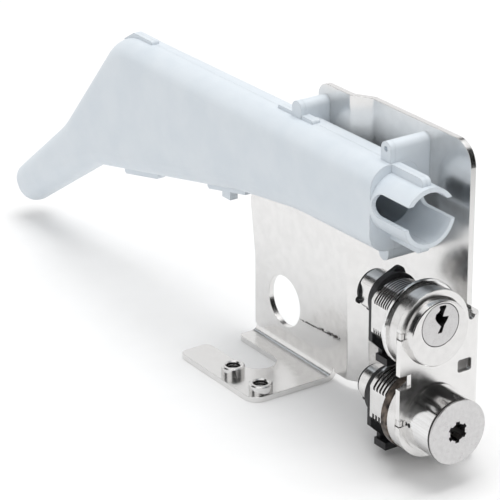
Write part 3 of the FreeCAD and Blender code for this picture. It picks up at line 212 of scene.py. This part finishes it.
# Dark screens: name, whether it keeps the sky's light off, and for each screen its turns in
# degrees and the radius and height in metres of its low and high rim
FLAGS = (
    ("wall_flags", True, (
        (-48, 62, (2.4, 0.0), (1.3, 2.3)),
        (122, 236, (2.2, 1.5), (1.6, 2.3)),
        (236, 264, (2.4, 0.0), (1.6, 2.3)),
    )),
    ("table_flag", False, ((-48, 62, (0.36, 0.0006), (2.4, 0.0006)),)),
)
SCREEN_STEPS = 24
# The key lamp's place and what it points at, in metres
KEY_PLACE = Vector((0.05, 0.1, 1.4))
KEY_TARGET = Vector((0, 0, 0.05))
# The floor lies this far under the foot, and is a grid of this many cells a side
FLOOR_GAP = 0.02 * MM
FLOOR_CELLS = 8
# The photograph's camera: place in metres, the way it looks, lens and sensor in millimetres, and
# the nearest distance that it shows in metres
CAMERA_PLACE = Vector((0.64468, -0.43456, 0.38704))
CAMERA_AZIMUTH = math.radians(34.08)
CAMERA_ELEVATION = math.radians(23.35)
CAMERA_ROLL = math.radians(-0.26)
CAMERA_LENS = 180.14
CAMERA_SENSOR = 36
CAMERA_NEAR = 0.01


def per_mm(millimetres):
    """Texture scale of a pattern whose features are this many millimetres apart."""
    return 1 / (millimetres * MM)


def rgba(tone):
    """A colour with full opacity, as a node takes it."""
    return (*tone, 1.0)


def add_node(tree, kind, inputs=None, **settings):
    """Adds one node with its settings; an input is a value or another node's output."""
    node = tree.nodes.new(kind)
    for name, setting in settings.items():
        setattr(node, name, setting)
    for socket, given in (inputs or {}).items():
        if isinstance(given, bpy.types.NodeSocket):
            tree.links.new(given, node.inputs[socket])
        else:
            node.inputs[socket].default_value = given
    return node


def new_material(name, **shader):
    """A material with one Principled shader; underscores in a socket's name stand for spaces."""
    made = bpy.data.materials.new(name)
    made.use_nodes = True
    surface = made.node_tree.nodes["Principled BSDF"]
    for socket, given in shader.items():
        surface.inputs[socket.replace("_", " ")].default_value = given
    return made


def worn(name, sheen, spacing, tones, bump=0.0, edge=0.0, stretch=(1, 1, 1), **shader):
    """A material clouded by one noise: roughness between two values, colour between two tones.

    Spacing, the clouds' relief and the softened edges' radius are in millimetres.
    """
    made = new_material(name, **shader)
    tree = made.node_tree
    surface = tree.nodes["Principled BSDF"]
    place = add_node(tree, "ShaderNodeTexCoord").outputs["Object"]
    stretched = add_node(tree, "ShaderNodeMapping", {"Vector": place, "Scale": stretch})
    clouds = add_node(tree, "ShaderNodeTexNoise", {
        "Vector": stretched.outputs["Vector"], "Scale": per_mm(spacing),
        "Detail": CLOUD_DETAIL, "Roughness": CLOUD_ROUGHNESS})
    rough = add_node(tree, "ShaderNodeMapRange", {
        "Value": clouds.outputs["Fac"], "From Min": SHEEN_LIMITS[0], "From Max": SHEEN_LIMITS[1],
        "To Min": sheen[0], "To Max": sheen[1]})
    ramp = add_node(tree, "ShaderNodeValToRGB", {"Fac": clouds.outputs["Fac"]})
    for stop, position, tone in zip(ramp.color_ramp.elements, TONE_LIMITS, tones):
        stop.position = position
        stop.color = rgba(tone)
    relief = add_node(tree, "ShaderNodeBump", {
        "Height": clouds.outputs["Fac"], "Distance": bump * MM, "Strength": 1.0})
    if edge:
        rounding = add_node(tree, "ShaderNodeBevel", {"Radius": edge * MM})
        tree.links.new(rounding.outputs["Normal"], relief.inputs["Normal"])
    tree.links.new(rough.outputs["Result"], surface.inputs["Roughness"])
    tree.links.new(ramp.outputs["Color"], surface.inputs["Base Color"])
    tree.links.new(relief.outputs["Normal"], surface.inputs["Normal"])
    return made


def scrape(made, tone):
    """Draws the one dark streak that is scraped into the plate beside the cable hole."""
    # Where it starts, how far it runs and falls, and over what length it fades at both ends
    start = at(-92.4 * MM, 0, -4.4 * MM)
    run, fall, fade = 24.0 * MM, 1.6 * MM, 1.0 * MM
    # Half its width at the start, and how that grows along it
    half_wide, widening = 0.3 * MM, 0.06
    # Depths between which it ends inside the sheet, in Y from the lower lock's axis
    skin = (13.8 * MM, 14.2 * MM)
    # Its flecks: spacing in millimetres, noise, and the values where they are gone and full
    fleck_spacing, fleck_detail, fleck_roughness, fleck_limits = 0.9, 4.0, 0.7, (0.38, 0.62)
    # Sums of mask and flecks where the streak starts and is full, and how much rougher it is
    paint_limits, rougher = (1.08, 1.16), 0.3

    tree = made.node_tree
    surface = tree.nodes["Principled BSDF"]
    plain = surface.inputs["Base Color"].links[0].from_socket
    rough = surface.inputs["Roughness"].links[0].from_socket
    place = add_node(tree, "ShaderNodeTexCoord").outputs["Object"]
    moved = add_node(tree, "ShaderNodeVectorMath", {0: place, 1: start}, operation="SUBTRACT")
    level = add_node(tree, "ShaderNodeMapping", {
        "Vector": moved.outputs["Vector"], "Rotation": (0, math.atan2(fall, run), 0)})
    parts = add_node(tree, "ShaderNodeSeparateXYZ", {"Vector": level.outputs["Vector"]})
    # Full on the streak's line, gone at its half width, which grows along it
    off_line = add_node(tree, "ShaderNodeMath", {0: parts.outputs["Z"]}, operation="ABSOLUTE")
    spread = add_node(tree, "ShaderNodeMath", {0: parts.outputs["X"], 1: widening, 2: half_wide},
                      operation="MULTIPLY_ADD")
    narrow = add_node(tree, "ShaderNodeMapRange", {
        "Value": off_line.outputs[0], "From Min": 0.0, "From Max": spread.outputs[0],
        "To Min": 1.0, "To Max": 0.0})
    # Fades at both ends of the run, and behind the front of the sheet
    off_middle = add_node(tree, "ShaderNodeMath", {0: parts.outputs["X"], 1: run / 2},
                          operation="SUBTRACT")
    from_middle = add_node(tree, "ShaderNodeMath", {0: off_middle.outputs[0]}, operation="ABSOLUTE")
    ends = add_node(tree, "ShaderNodeMapRange", {
        "Value": from_middle.outputs[0], "From Min": run / 2 - fade, "From Max": run / 2 + fade,
        "To Min": 1.0, "To Max": 0.0})
    front = add_node(tree, "ShaderNodeMapRange", {
        "Value": parts.outputs["Y"], "From Min": skin[0], "From Max": skin[1],
        "To Min": 1.0, "To Max": 0.0})
    # The flecks that break it up are drawn coarser than the real ones, so that they show
    flecks = add_node(tree, "ShaderNodeTexNoise", {
        "Vector": level.outputs["Vector"], "Scale": per_mm(fleck_spacing),
        "Detail": fleck_detail, "Roughness": fleck_roughness})
    gaps = add_node(tree, "ShaderNodeMapRange", {
        "Value": flecks.outputs["Fac"], "From Min": fleck_limits[0], "From Max": fleck_limits[1],
        "To Min": 0.0, "To Max": 1.0})
    mask = narrow.outputs["Result"]
    for other in (ends.outputs["Result"], front.outputs["Result"]):
        mask = add_node(tree, "ShaderNodeMath", {0: mask, 1: other}, operation="MULTIPLY").outputs[0]
    dense = add_node(tree, "ShaderNodeMath", {0: mask, 1: gaps.outputs["Result"]}, operation="ADD")
    paint = add_node(tree, "ShaderNodeMapRange", {
        "Value": dense.outputs[0], "From Min": paint_limits[0], "From Max": paint_limits[1],
        "To Min": 0.0, "To Max": 1.0})
    blend = add_node(tree, "ShaderNodeMixRGB", {
        "Fac": paint.outputs["Result"], "Color1": plain, "Color2": rgba(tone)})
    dull = add_node(tree, "ShaderNodeMath", {0: paint.outputs["Result"], 1: rougher, 2: rough},
                    operation="MULTIPLY_ADD")
    tree.links.new(blend.outputs["Color"], surface.inputs["Base Color"])
    tree.links.new(dull.outputs[0], surface.inputs["Roughness"])


def satin_stainless_sheet(look):
    # Cold-rolled stainless sheet: soft cloudy reflections, a faint mottled grain and one scrape
    made = worn("satin_stainless_sheet", sheen=(0.2, 0.27), spacing=3.2,
                tones=(look.sheet_grain, look.sheet), bump=0.0006, edge=0.3, Metallic=1.0)
    scrape(made, look.scuff)
    return made


def moulded_duct_plastic(look):
    # Injection-moulded PVC: an even pale blue-grey with a soft sheen and blunt edges
    return worn("moulded_duct_plastic", sheen=(0.34, 0.46), spacing=14.0,
                tones=(look.duct_shade, look.duct), bump=0.004, edge=0.45, IOR=1.53)


def nickel_plated_casting(look):
    # Die-cast zinc under nickel: bright, with slightly uneven reflections
    return worn("nickel_plated_casting", sheen=(0.13, 0.22), spacing=2.4,
                tones=(look.sheet_grain, look.nickel), bump=0.0008, edge=0.12, Metallic=1.0)


def polished_chrome(look):
    # Chromium on a turned sleeve: mirror-like, with faint polishing lines along it, which are
    # drawn coarser than the real ones so that they show
    return worn("polished_chrome", sheen=(0.08, 0.2), spacing=0.9, tones=(look.nickel, look.chrome),
                bump=0.0012, edge=0.1, stretch=(0.03, 1, 1), Metallic=1.0)


def satin_nickel_face(look):
    # Fine-turned and nickelled: matt grey that lightens and darkens softly
    return worn("satin_nickel_face", sheen=(0.26, 0.34), spacing=1.6,
                tones=(look.face_shade, look.face), bump=0.0006, edge=0.15, Metallic=1.0)


def zinc_plated_steel(look):
    # Electroplated zinc: silvery with a soft uneven bloom
    return worn("zinc_plated_steel", sheen=(0.16, 0.28), spacing=2.0,
                tones=(look.sheet_grain, look.zinc), bump=0.001, edge=0.15, Metallic=1.0)


def brown_passivated_nut(look):
    # Passivated brass nut: dull brown metal, a little darker in its clouding
    return worn("brown_passivated_nut", sheen=(0.26, 0.4), spacing=2.2,
                tones=(look.bronze_shade, look.bronze), bump=0.002, edge=0.2, Metallic=1.0)


def black_oxide_steel(look):
    # Blackened punched steel: near-black with a low oily sheen on its edges
    return worn("black_oxide_steel", sheen=(0.3, 0.45), spacing=2.0,
                tones=(look.oxide, look.spring), bump=0.004, edge=0.25, Metallic=0.4)


def dark_spring_steel(look):
    # Phosphated spring steel: dark grey with a dull sheen
    return worn("dark_spring_steel", sheen=(0.28, 0.42), spacing=1.0,
                tones=(look.oxide, look.spring), bump=0.002, edge=0.1, Metallic=0.8)


def turned_brass(look):
    # Turned brass pins: warm yellow with tool marks, drawn coarser than the real ones
    return worn("turned_brass", sheen=(0.18, 0.3), spacing=0.4,
                tones=(look.bronze, look.brass), bump=0.001, Metallic=1.0)


def painted_recess_shade(look):
    # Painted shade in the thread grooves, the screws' cross recesses and round the plug: dark brown, half
    # matt
    return worn("painted_recess_shade", sheen=(0.35, 0.5), spacing=0.8,
                tones=(look.oxide, look.painted_shade), bump=0.002, Metallic=0.3)


def gap_shade_black(look):
    # Black ring that paints the shade in the gap behind the lower face: matt, with no metal in it
    return worn("gap_shade_black", sheen=(0.55, 0.7), spacing=1.0,
                tones=(look.oxide, look.painted_shade), bump=0.003, IOR=1.52)


def background_paper(stage):
    # Matt white background paper, which keeps the soft shadow
    return worn("paper_floor", sheen=(0.9, 1.0), spacing=40.0,
                tones=(stage.floor_shade, stage.floor), Specular_IOR_Level=0.0)


def black_velvet(stage):
    # Black velvet: takes nearly all light
    return new_material("black_velvet_flag", Base_Color=rgba(stage.velvet), Roughness=1.0,
                        Specular_IOR_Level=0.0)


def at(x, y, z):
    """A point in the row frame from its place off the lower lock's axis at the flange."""
    return Vector((x, y, z)) + LOCK_ORIGIN


def along_x(y, z):
    """Round forms on an axis along X: where a point lies for its way along, turn and radius."""
    return lambda along, turn, radius: at(along, y + radius * math.sin(turn), z + radius * math.cos(turn))


def along_y(x, z):
    """The same on an axis along Y."""
    return lambda along, turn, radius: at(x + radius * math.cos(turn), along, z + radius * math.sin(turn))


def along_z(x, y):
    """The same on an axis along Z."""
    return lambda along, turn, radius: at(x + radius * math.cos(turn), y + radius * math.sin(turn), along)


def turns_of(count, corners=()):
    """Even turns round a circle with the turns of any corners among them, in order."""
    return sorted([math.tau * i / count for i in range(count)] + list(corners))


def flat_radius(turn, radius, flat):
    """Radius at one turn of a round bar with a flat on its left and right."""
    side = abs(math.sin(turn))
    return min(radius, flat / side) if flat and side * radius > flat else radius


def ring(form, spot, turns, along, radius, flat=None):
    """One loop of points round an axis."""
    return [form.verts.new(spot(along, turn, flat_radius(turn, radius, flat))) for turn in turns]


def bridge(form, first, second, slot=0):
    """Faces between two loops of as many points."""
    for i, corner in enumerate(first):
        face = form.faces.new((first[i - 1], corner, second[i], second[i - 1]))
        face.material_index = slot


def turned(form, spot, turns, profile):
    """Faces round an axis through each point of a profile, way along and radius; gives its loops."""
    loops = [ring(form, spot, turns, along, radius) for along, radius in profile]
    for near, far in zip(loops, loops[1:]):
        bridge(form, near, far)
    return loops


def threaded(form, spot, turns, start, end, thread, radius, flat=None):
    """One helical groove between two plain ends; a negative depth cuts outwards in a bore.

    Each row of points runs once round the bar while it moves on by one pitch, and the last point
    of a row meets the first point of the row one pitch further on.
    """
    pitch, depth, (crest, flank) = thread
    # Whether the groove is cut at each turn: a flat that lies deeper than the groove has none
    cut = [flat_radius(turn, radius, flat) != flat_radius(turn, radius - depth, flat) for turn in turns]
    # Share of the pitch and share of the depth of each row
    steps = ((0, 0), (crest, 0), (crest + flank, 1), (1 - flank, 1))
    rows = []
    for lap in range(-1, math.ceil((end - start) / pitch) + 1):
        for share, deep in steps:
            row = []
            for turn in turns:
                along = start + pitch * (lap + share + turn / math.tau)
                reach = radius - depth * deep if start < along < end else radius
                along = min(max(along, start), end)
                row.append(form.verts.new(spot(along, turn, flat_radius(turn, reach, flat))))
            rows.append(row)
    lap_rows = len(steps)
    for i, (near, far) in enumerate(zip(rows, rows[1:])):
        if i + 1 + lap_rows < len(rows):
            near, far = near + [rows[i + lap_rows][0]], far + [rows[i + 1 + lap_rows][0]]
        # Faces of these bands, where the groove is cut, take the second material, which paints shade into
        # the groove
        shaded = i % lap_rows in SHADED_BANDS
        for j in range(len(near) - 1):
            face = form.faces.new((near[j], near[j + 1], far[j + 1], far[j]))
            face.material_index = 1 if shaded and cut[j] else 0


def mesh_object(name, data, *materials):
    """Puts a mesh into the scene with its materials."""
    made = bpy.data.objects.new(name, data)
    bpy.context.scene.collection.objects.link(made)
    for material in materials:
        made.data.materials.append(material)
    return made


def finish(name, form, body, materials, *nodes):
    """Turns the form into an object that rides on a body and stands for CAD nodes."""
    bmesh.ops.remove_doubles(form, verts=form.verts, dist=WELD)
    bmesh.ops.recalc_face_normals(form, faces=form.faces)
    for face in form.faces:
        face.smooth = True
    data = bpy.data.meshes.new(name)
    form.to_mesh(data)
    form.free()
    data.set_sharp_from_angle(angle=CREASE)
    made = mesh_object(name, data, *materials)
    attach(made, body)
    if nodes:
        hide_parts(*nodes)
    return made


def give(material, *nodes):
    """Puts a material into every slot of these CAD nodes."""
    for name in nodes:
        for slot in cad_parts[name].material_slots:
            slot.material = material


def add_nib(form, size, axis_z, side):
    """One staked nib behind the barrel, on one side of its axis, closed at both ends."""
    spot = along_x(side * size.nib_y, axis_z - size.nib_drop)
    start = -size.barrel_long
    loops = turned(form, spot, turns_of(SMALL_ROUND // 2), (
        (start, size.nib_r), (start - size.stop_thick, size.nib_r)))
    for loop in loops:
        form.faces.new(loop)


def add_barrel(form, size, turns, axis_z, bore, bore_r, thread, thread_end):
    """The threaded barrel with its rear face; gives its loops at the rear bore and at the flange."""
    spot = along_x(0, axis_z)
    start = -size.barrel_long
    bar = (size.barrel_r, size.barrel_flat)
    back = ring(form, bore, turns, start, bore_r)
    rear = ring(form, spot, turns, start, *bar)
    land = ring(form, spot, turns, start + size.rear_land, *bar)
    bridge(form, back, rear)
    bridge(form, rear, land)
    threaded(form, spot, turns, start + size.rear_land, thread_end, thread, *bar)
    plain = ring(form, spot, turns, thread_end, *bar)
    front = ring(form, spot, turns, 0, *bar)
    bridge(form, plain, front)
    for side in (-1, 1):
        add_nib(form, size, axis_z, side)
    return back, front


def barrel_turns(size):
    """Turns round a barrel, with the four corners of its flats among them."""
    corner = math.asin(size.barrel_flat / size.barrel_r)
    return turns_of(ROUND, (corner, math.pi - corner, math.pi + corner, math.tau - corner))


def upper_lock_body(size, materials):
    """Fine-threaded body with the bevelled head, and a seam round the plug with painted shade in it."""
    form = bmesh.new()
    turns = barrel_turns(size)
    spot = along_x(0, size.upper_z)
    bore = along_x(0, size.upper_z + size.rotor_rise)
    thread = (size.upper_pitch, size.upper_groove, FINE_FORM)
    back, front = add_barrel(form, size, turns, size.upper_z, bore, size.upper_bore_r,
                             thread, size.upper_thread_end)
    edge = size.head_edge
    rise = (size.head_r - size.head_face_r) * edge / size.head_long
    head = turned(form, spot, turns, (
        (0, size.head_r),
        (size.head_long - edge, size.head_face_r + rise),
        (size.head_long, size.head_face_r - edge),
    ))
    bridge(form, front, head[0])
    lip = ring(form, bore, turns, size.head_long, size.upper_bore_r + size.seam_wide)
    deep = ring(form, bore, turns, size.head_long - size.seam_deep, size.upper_bore_r)
    bridge(form, head[-1], lip)
    # The seam's chamfer takes the second material, which paints shade round the plug
    bridge(form, lip, deep, slot=1)
    bridge(form, deep, back)
    return finish("upper_lock_body", form, "frame", materials, "upper_lock_housing")


def lower_lock_body(size, materials):
    """Coarse-threaded body with its base against the flange and the nose under the collar."""
    form = bmesh.new()
    turns = barrel_turns(size)
    spot = along_x(0, 0)
    thread = (size.lower_pitch, size.lower_groove, COARSE_FORM)
    back, front = add_barrel(form, size, turns, 0, spot, size.lower_bore_r,
                             thread, size.lower_thread_end)
    nose = turned(form, spot, turns, (
        (0, size.head_r),
        (size.base_long, size.head_r),
        (size.base_long, size.nose_r),
        (size.nose_end, size.nose_r),
        (size.nose_end, size.lower_bore_r),
    ))
    bridge(form, front, nose[0])
    bridge(form, nose[-1], back)
    return finish("lower_lock_body", form, "frame", materials, "lower_lock_housing")


def gap_shade_ring(size, material):
    """Black ring over the collar's chamfer, behind the face disc, that paints the shade in the gap there.
    """
    form = bmesh.new()
    inner, outer = size.shade_ring_bore_r, size.shade_ring_r
    wide = outer - inner
    back, rim, front = size.shade_ring_back, size.collar_end, size.shade_ring_front
    turned(form, along_x(0, 0), turns_of(ROUND), (
        (rim, inner),
        (rim, outer - SHADE_RING_HEEL * wide),
        (back, outer - SHADE_RING_LIP * wide),
        (back, outer - SHADE_RING_BACK_EDGE * wide),
        ((back + front) / 2, outer),
        (front, outer - SHADE_RING_FRONT_EDGE * wide),
        (front, inner),
        (rim, inner),
    ))
    return finish("collar_dust_seal", form, "frame", [material])


def press_nuts(size, materials):
    """Two press nuts with chamfered rims and a thread in each bore."""
    form = bmesh.new()
    turns = turns_of(SMALL_ROUND)
    low, seat, top, edge = size.foot_low_z, size.foot_top_z, size.nut_top_z, size.nut_edge
    thread_top = top - size.nut_groove
    thread = (size.nut_pitch, -size.nut_groove, FINE_FORM)
    for side in (-1, 1):
        spot = along_z(size.nut_mid_x + side * size.nut_spacing / 2, size.nut_y)
        turned(form, spot, turns, (
            (low, size.nut_bore_r),
            (low, size.nut_shank_r),
            (seat, size.nut_shank_r),
            (seat, size.nut_r),
            (top - edge, size.nut_r),
            (top, size.nut_r - edge),
            (top, size.nut_bore_r + size.nut_groove),
            (thread_top, size.nut_bore_r),
        ))
        threaded(form, spot, turns, low, thread_top, thread, size.nut_bore_r)
    return finish("threaded_press_nuts", form, "frame", materials, "foot_press_nuts")


def cross_radius(turn, size, share):
    """Radius of a cross-shaped recess at one turn, for a share of its full width."""
    across, up = abs(math.cos(turn)) + TINY, abs(math.sin(turn)) + TINY
    far, near = size.screw_cross_long * share, size.screw_cross_wide * share
    return max(min(far / across, near / up), min(near / across, far / up))


def cross_turns(size):
    """Turns round a screw's head, with the twelve corners of its cross among them."""
    # Four points more than on other small circles keep every even turn off the corners
    count = SMALL_ROUND + 4
    tip = math.atan2(size.screw_cross_wide, size.screw_cross_long)
    corners = [quarter * math.pi / 2 + turn for quarter in range(4) for turn in (tip, -tip, math.pi / 4)]
    return turns_of(count, [turn % math.tau for turn in corners])


def duct_screws(size, materials):
    """Three pan-head screws with a cross recess, from behind the plate."""
    form = bmesh.new()
    turns = cross_turns(size)
    high, wide = size.screw_head_high, size.screw_head_r
    for x, z, seat in SCREW_SEATS:
        spot = along_y(x * MM, z * MM)
        front = seat * MM
        plate = front + size.sheet_thick
        loops = turned(form, spot, turns, (
            (front - size.screw_long, POINT_END * size.screw_r),
            (front - POINT_START * size.screw_long, size.screw_r),
            (plate, size.screw_r),
            (plate, wide),
            *((plate + up * high, out * wide) for up, out in PAN_HEAD),
        ))
        form.faces.new(loops[0])
        mouth, bottom = [], []
        for turn in turns:
            mouth.append(form.verts.new(spot(plate + high, turn, cross_radius(turn, size, 1))))
            deep = plate + high - size.screw_cross_deep
            bottom.append(form.verts.new(spot(deep, turn, cross_radius(turn, size, CROSS_TAPER))))
        bridge(form, loops[-1], mouth)
        # The cross recess's walls and bottom take the second material, painted shade
        bridge(form, mouth, bottom, slot=1)
        form.faces.new(bottom).material_index = 1
    return finish("cross_head_screws", form, "frame", materials, "duct_screws")


class LOCK_OT_bracket(bpy.types.Operator):
    """Dresses the folded steel bracket and builds its press nuts and screws"""
    bl_idname = "interlock.bracket"
    bl_label = "Steel bracket"

    def execute(self, context):
        look, size = context.scene.interlock_colours, context.scene.interlock_sizes
        give(satin_stainless_sheet(look), "mounting_bracket")
        # The second material paints shade into the threads and the screws' cross recesses
        plated = [zinc_plated_steel(look), painted_recess_shade(look)]
        press_nuts(size, plated)
        duct_screws(size, plated)
        return {"FINISHED"}


class LOCK_OT_duct(bpy.types.Operator):
    """Dresses the moulded wire duct"""
    bl_idname = "interlock.duct"
    bl_label = "Wire duct"

    def execute(self, context):
        give(moulded_duct_plastic(context.scene.interlock_colours), "duct_front_shell", "duct_rear_shell")
        return {"FINISHED"}


class LOCK_OT_locks(bpy.types.Operator):
    """Builds the threaded lock bodies and dresses their rings, plates and pins"""
    bl_idname = "interlock.locks"
    bl_label = "Cam locks"

    def execute(self, context):
        look, size = context.scene.interlock_colours, context.scene.interlock_sizes
        # The second material paints shade into the threads and round the plug
        plated = [nickel_plated_casting(look), painted_recess_shade(look)]
        upper_lock_body(size, plated)
        lower_lock_body(size, plated)
        # A black ring paints the shade in the gap between the collar and the face disc
        gap_shade_ring(size, gap_shade_black(look))
        give(polished_chrome(look), "lower_collar", "upper_ring_nut")
        give(satin_nickel_face(look), "lower_rotor", "upper_plug")
        give(zinc_plated_steel(look), "upper_spacer_ring", "lower_spacer_ring", "upper_tail_sleeve",
             "lower_tail_sleeve")
        give(brown_passivated_nut(look), "lower_ring_nut")
        give(black_oxide_steel(look), "upper_stop_plate", "lower_stop_plate", "upper_cam", "lower_cam")
        give(dark_spring_steel(look), "upper_circlip", "lower_circlip", "lower_collar_pin",
             "upper_pin_springs", "lower_pin_springs")
        give(turned_brass(look), "upper_key_pins", "upper_driver_pins",
             "lower_key_pins", "lower_driver_pins")
        return {"FINISHED"}


def paper_floor(stage):
    """The pale floor, just under the foot."""
    grid = bmesh.new()
    bmesh.ops.create_grid(grid, x_segments=FLOOR_CELLS, y_segments=FLOOR_CELLS, size=stage.size / 2)
    data = bpy.data.meshes.new("paper_floor")
    grid.to_mesh(data)
    grid.free()
    floor = mesh_object("paper_floor", data, background_paper(stage))
    floor.location.z = CAD_BOX[0][2] - FLOOR_GAP


def studio_world(scene, sky):
    """White behind everything the camera or a reflection sees, and softer light on the object."""
    world = bpy.data.worlds.new("studio_world")
    scene.world = world
    world.use_nodes = True
    tree = world.node_tree
    white = rgba((1, 1, 1))
    path = add_node(tree, "ShaderNodeLightPath")
    seen = add_node(tree, "ShaderNodeMath", {
        0: path.outputs["Is Camera Ray"], 1: path.outputs["Is Glossy Ray"]}, operation="MAXIMUM")
    seen = add_node(tree, "ShaderNodeMath", {
        0: seen.outputs[0], 1: path.outputs["Is Transmission Ray"]}, operation="MAXIMUM")
    light = add_node(tree, "ShaderNodeBackground", {"Color": white, "Strength": sky})
    backdrop = add_node(tree, "ShaderNodeBackground", {"Color": white, "Strength": 1.0})
    mix = add_node(tree, "ShaderNodeMixShader", {
        0: seen.outputs[0], 1: light.outputs[0], 2: backdrop.outputs[0]})
    tree.links.new(mix.outputs[0], tree.nodes["World Output"].inputs["Surface"])


def add_screen(form, from_turn, to_turn, low, high):
    """Part of a cone wall round the object; low and high give its radius and height."""
    rims = ([], [])
    for step in range(SCREEN_STEPS + 1):
        turn = math.radians(from_turn + (to_turn - from_turn) * step / SCREEN_STEPS)
        for rim, (radius, height) in zip(rims, (low, high)):
            rim.append(form.verts.new((radius * math.cos(turn), radius * math.sin(turn), height)))
    for i in range(SCREEN_STEPS):
        form.faces.new((rims[0][i], rims[0][i + 1], rims[1][i + 1], rims[1][i]))


def studio_flags(stage):
    """Black screens that only reflections see, so that the chrome shows its dark bands."""
    velvet = black_velvet(stage)
    for name, casts, screens in FLAGS:
        form = bmesh.new()
        for screen in screens:
            add_screen(form, *screen)
        data = bpy.data.meshes.new(name)
        form.to_mesh(data)
        form.free()
        flag = mesh_object(name, data, velvet)
        flag.visible_camera = False
        flag.visible_diffuse = False
        flag.visible_transmission = False
        flag.visible_shadow = casts


def soft_lamp(name, place, target, size, power):
    """A round lamp that points at a target."""
    data = bpy.data.lights.new(name, "AREA")
    data.shape = "DISK"
    data.size = size
    data.energy = power
    lamp = bpy.data.objects.new(name, data)
    bpy.context.scene.collection.objects.link(lamp)
    lamp.location = place
    lamp.rotation_euler = (target - place).to_track_quat("-Z", "Y").to_euler()


def photo_camera(scene):
    """The camera at the photograph's place and angle."""
    forward = Vector((-math.cos(CAMERA_AZIMUTH) * math.cos(CAMERA_ELEVATION),
                      math.sin(CAMERA_AZIMUTH) * math.cos(CAMERA_ELEVATION),
                      -math.sin(CAMERA_ELEVATION)))
    level = forward.cross(Vector((0, 0, 1))).normalized()
    upright = level.cross(forward)
    right = math.cos(CAMERA_ROLL) * level + math.sin(CAMERA_ROLL) * upright
    above = math.cos(CAMERA_ROLL) * upright - math.sin(CAMERA_ROLL) * level
    data = bpy.data.cameras.new("photo_camera")
    data.sensor_width = CAMERA_SENSOR
    data.lens = CAMERA_LENS
    data.clip_start = CAMERA_NEAR
    camera = bpy.data.objects.new("photo_camera", data)
    scene.collection.objects.link(camera)
    turn = Matrix((right, above, -forward)).transposed()
    camera.matrix_world = Matrix.Translation(CAMERA_PLACE) @ turn.to_4x4()
    scene.camera = camera


class LOCK_OT_stage(bpy.types.Operator):
    """Sets the floor, the light and the camera at the photograph's angle"""
    bl_idname = "interlock.stage"
    bl_label = "Stage"

    def execute(self, context):
        scene = context.scene
        stage = scene.interlock_stage
        paper_floor(stage)
        studio_world(scene, stage.sky)
        studio_flags(stage)
        soft_lamp("key_lamp", KEY_PLACE, KEY_TARGET, stage.key_size, stage.key_power)
        scene.view_settings.view_transform = "Standard"
        photo_camera(scene)
        return {"FINISHED"}


class VIEW3D_PT_interlock(bpy.types.Panel):
    """Lists the steps that dress the interlock lock"""
    bl_label = "Key interlock lock"
    bl_idname = "VIEW3D_PT_interlock"
    bl_space_type = "VIEW_3D"
    bl_region_type = "UI"
    bl_category = "Interlock Lock"

    def draw(self, context):
        column = self.layout.column()
        for step in STEPS:
            column.operator(step.bl_idname, text=step.bl_label)
        scene = context.scene
        for group in (scene.interlock_colours, scene.interlock_sizes, scene.interlock_stage):
            for key in group.bl_rna.properties.keys():
                # Every group has these two besides its own
                if key not in {"rna_type", "name"}:
                    column.prop(group, key)


STEPS = (LOCK_OT_bracket, LOCK_OT_duct, LOCK_OT_locks, LOCK_OT_stage)
CLASSES = (LOCK_PG_colours, LOCK_PG_sizes, LOCK_PG_stage, *STEPS, VIEW3D_PT_interlock)


def register():
    for item in CLASSES:
        bpy.utils.register_class(item)
    bpy.types.Scene.interlock_colours = PointerProperty(type=LOCK_PG_colours)
    bpy.types.Scene.interlock_sizes = PointerProperty(type=LOCK_PG_sizes)
    bpy.types.Scene.interlock_stage = PointerProperty(type=LOCK_PG_stage)


def unregister():
    del bpy.types.Scene.interlock_stage
    del bpy.types.Scene.interlock_sizes
    del bpy.types.Scene.interlock_colours
    for item in reversed(CLASSES):
        bpy.utils.unregister_class(item)


def main():
    register()
    bpy.ops.interlock.bracket()
    bpy.ops.interlock.duct()
    bpy.ops.interlock.locks()
    bpy.ops.interlock.stage()


if __name__ == "__main__":
    main()
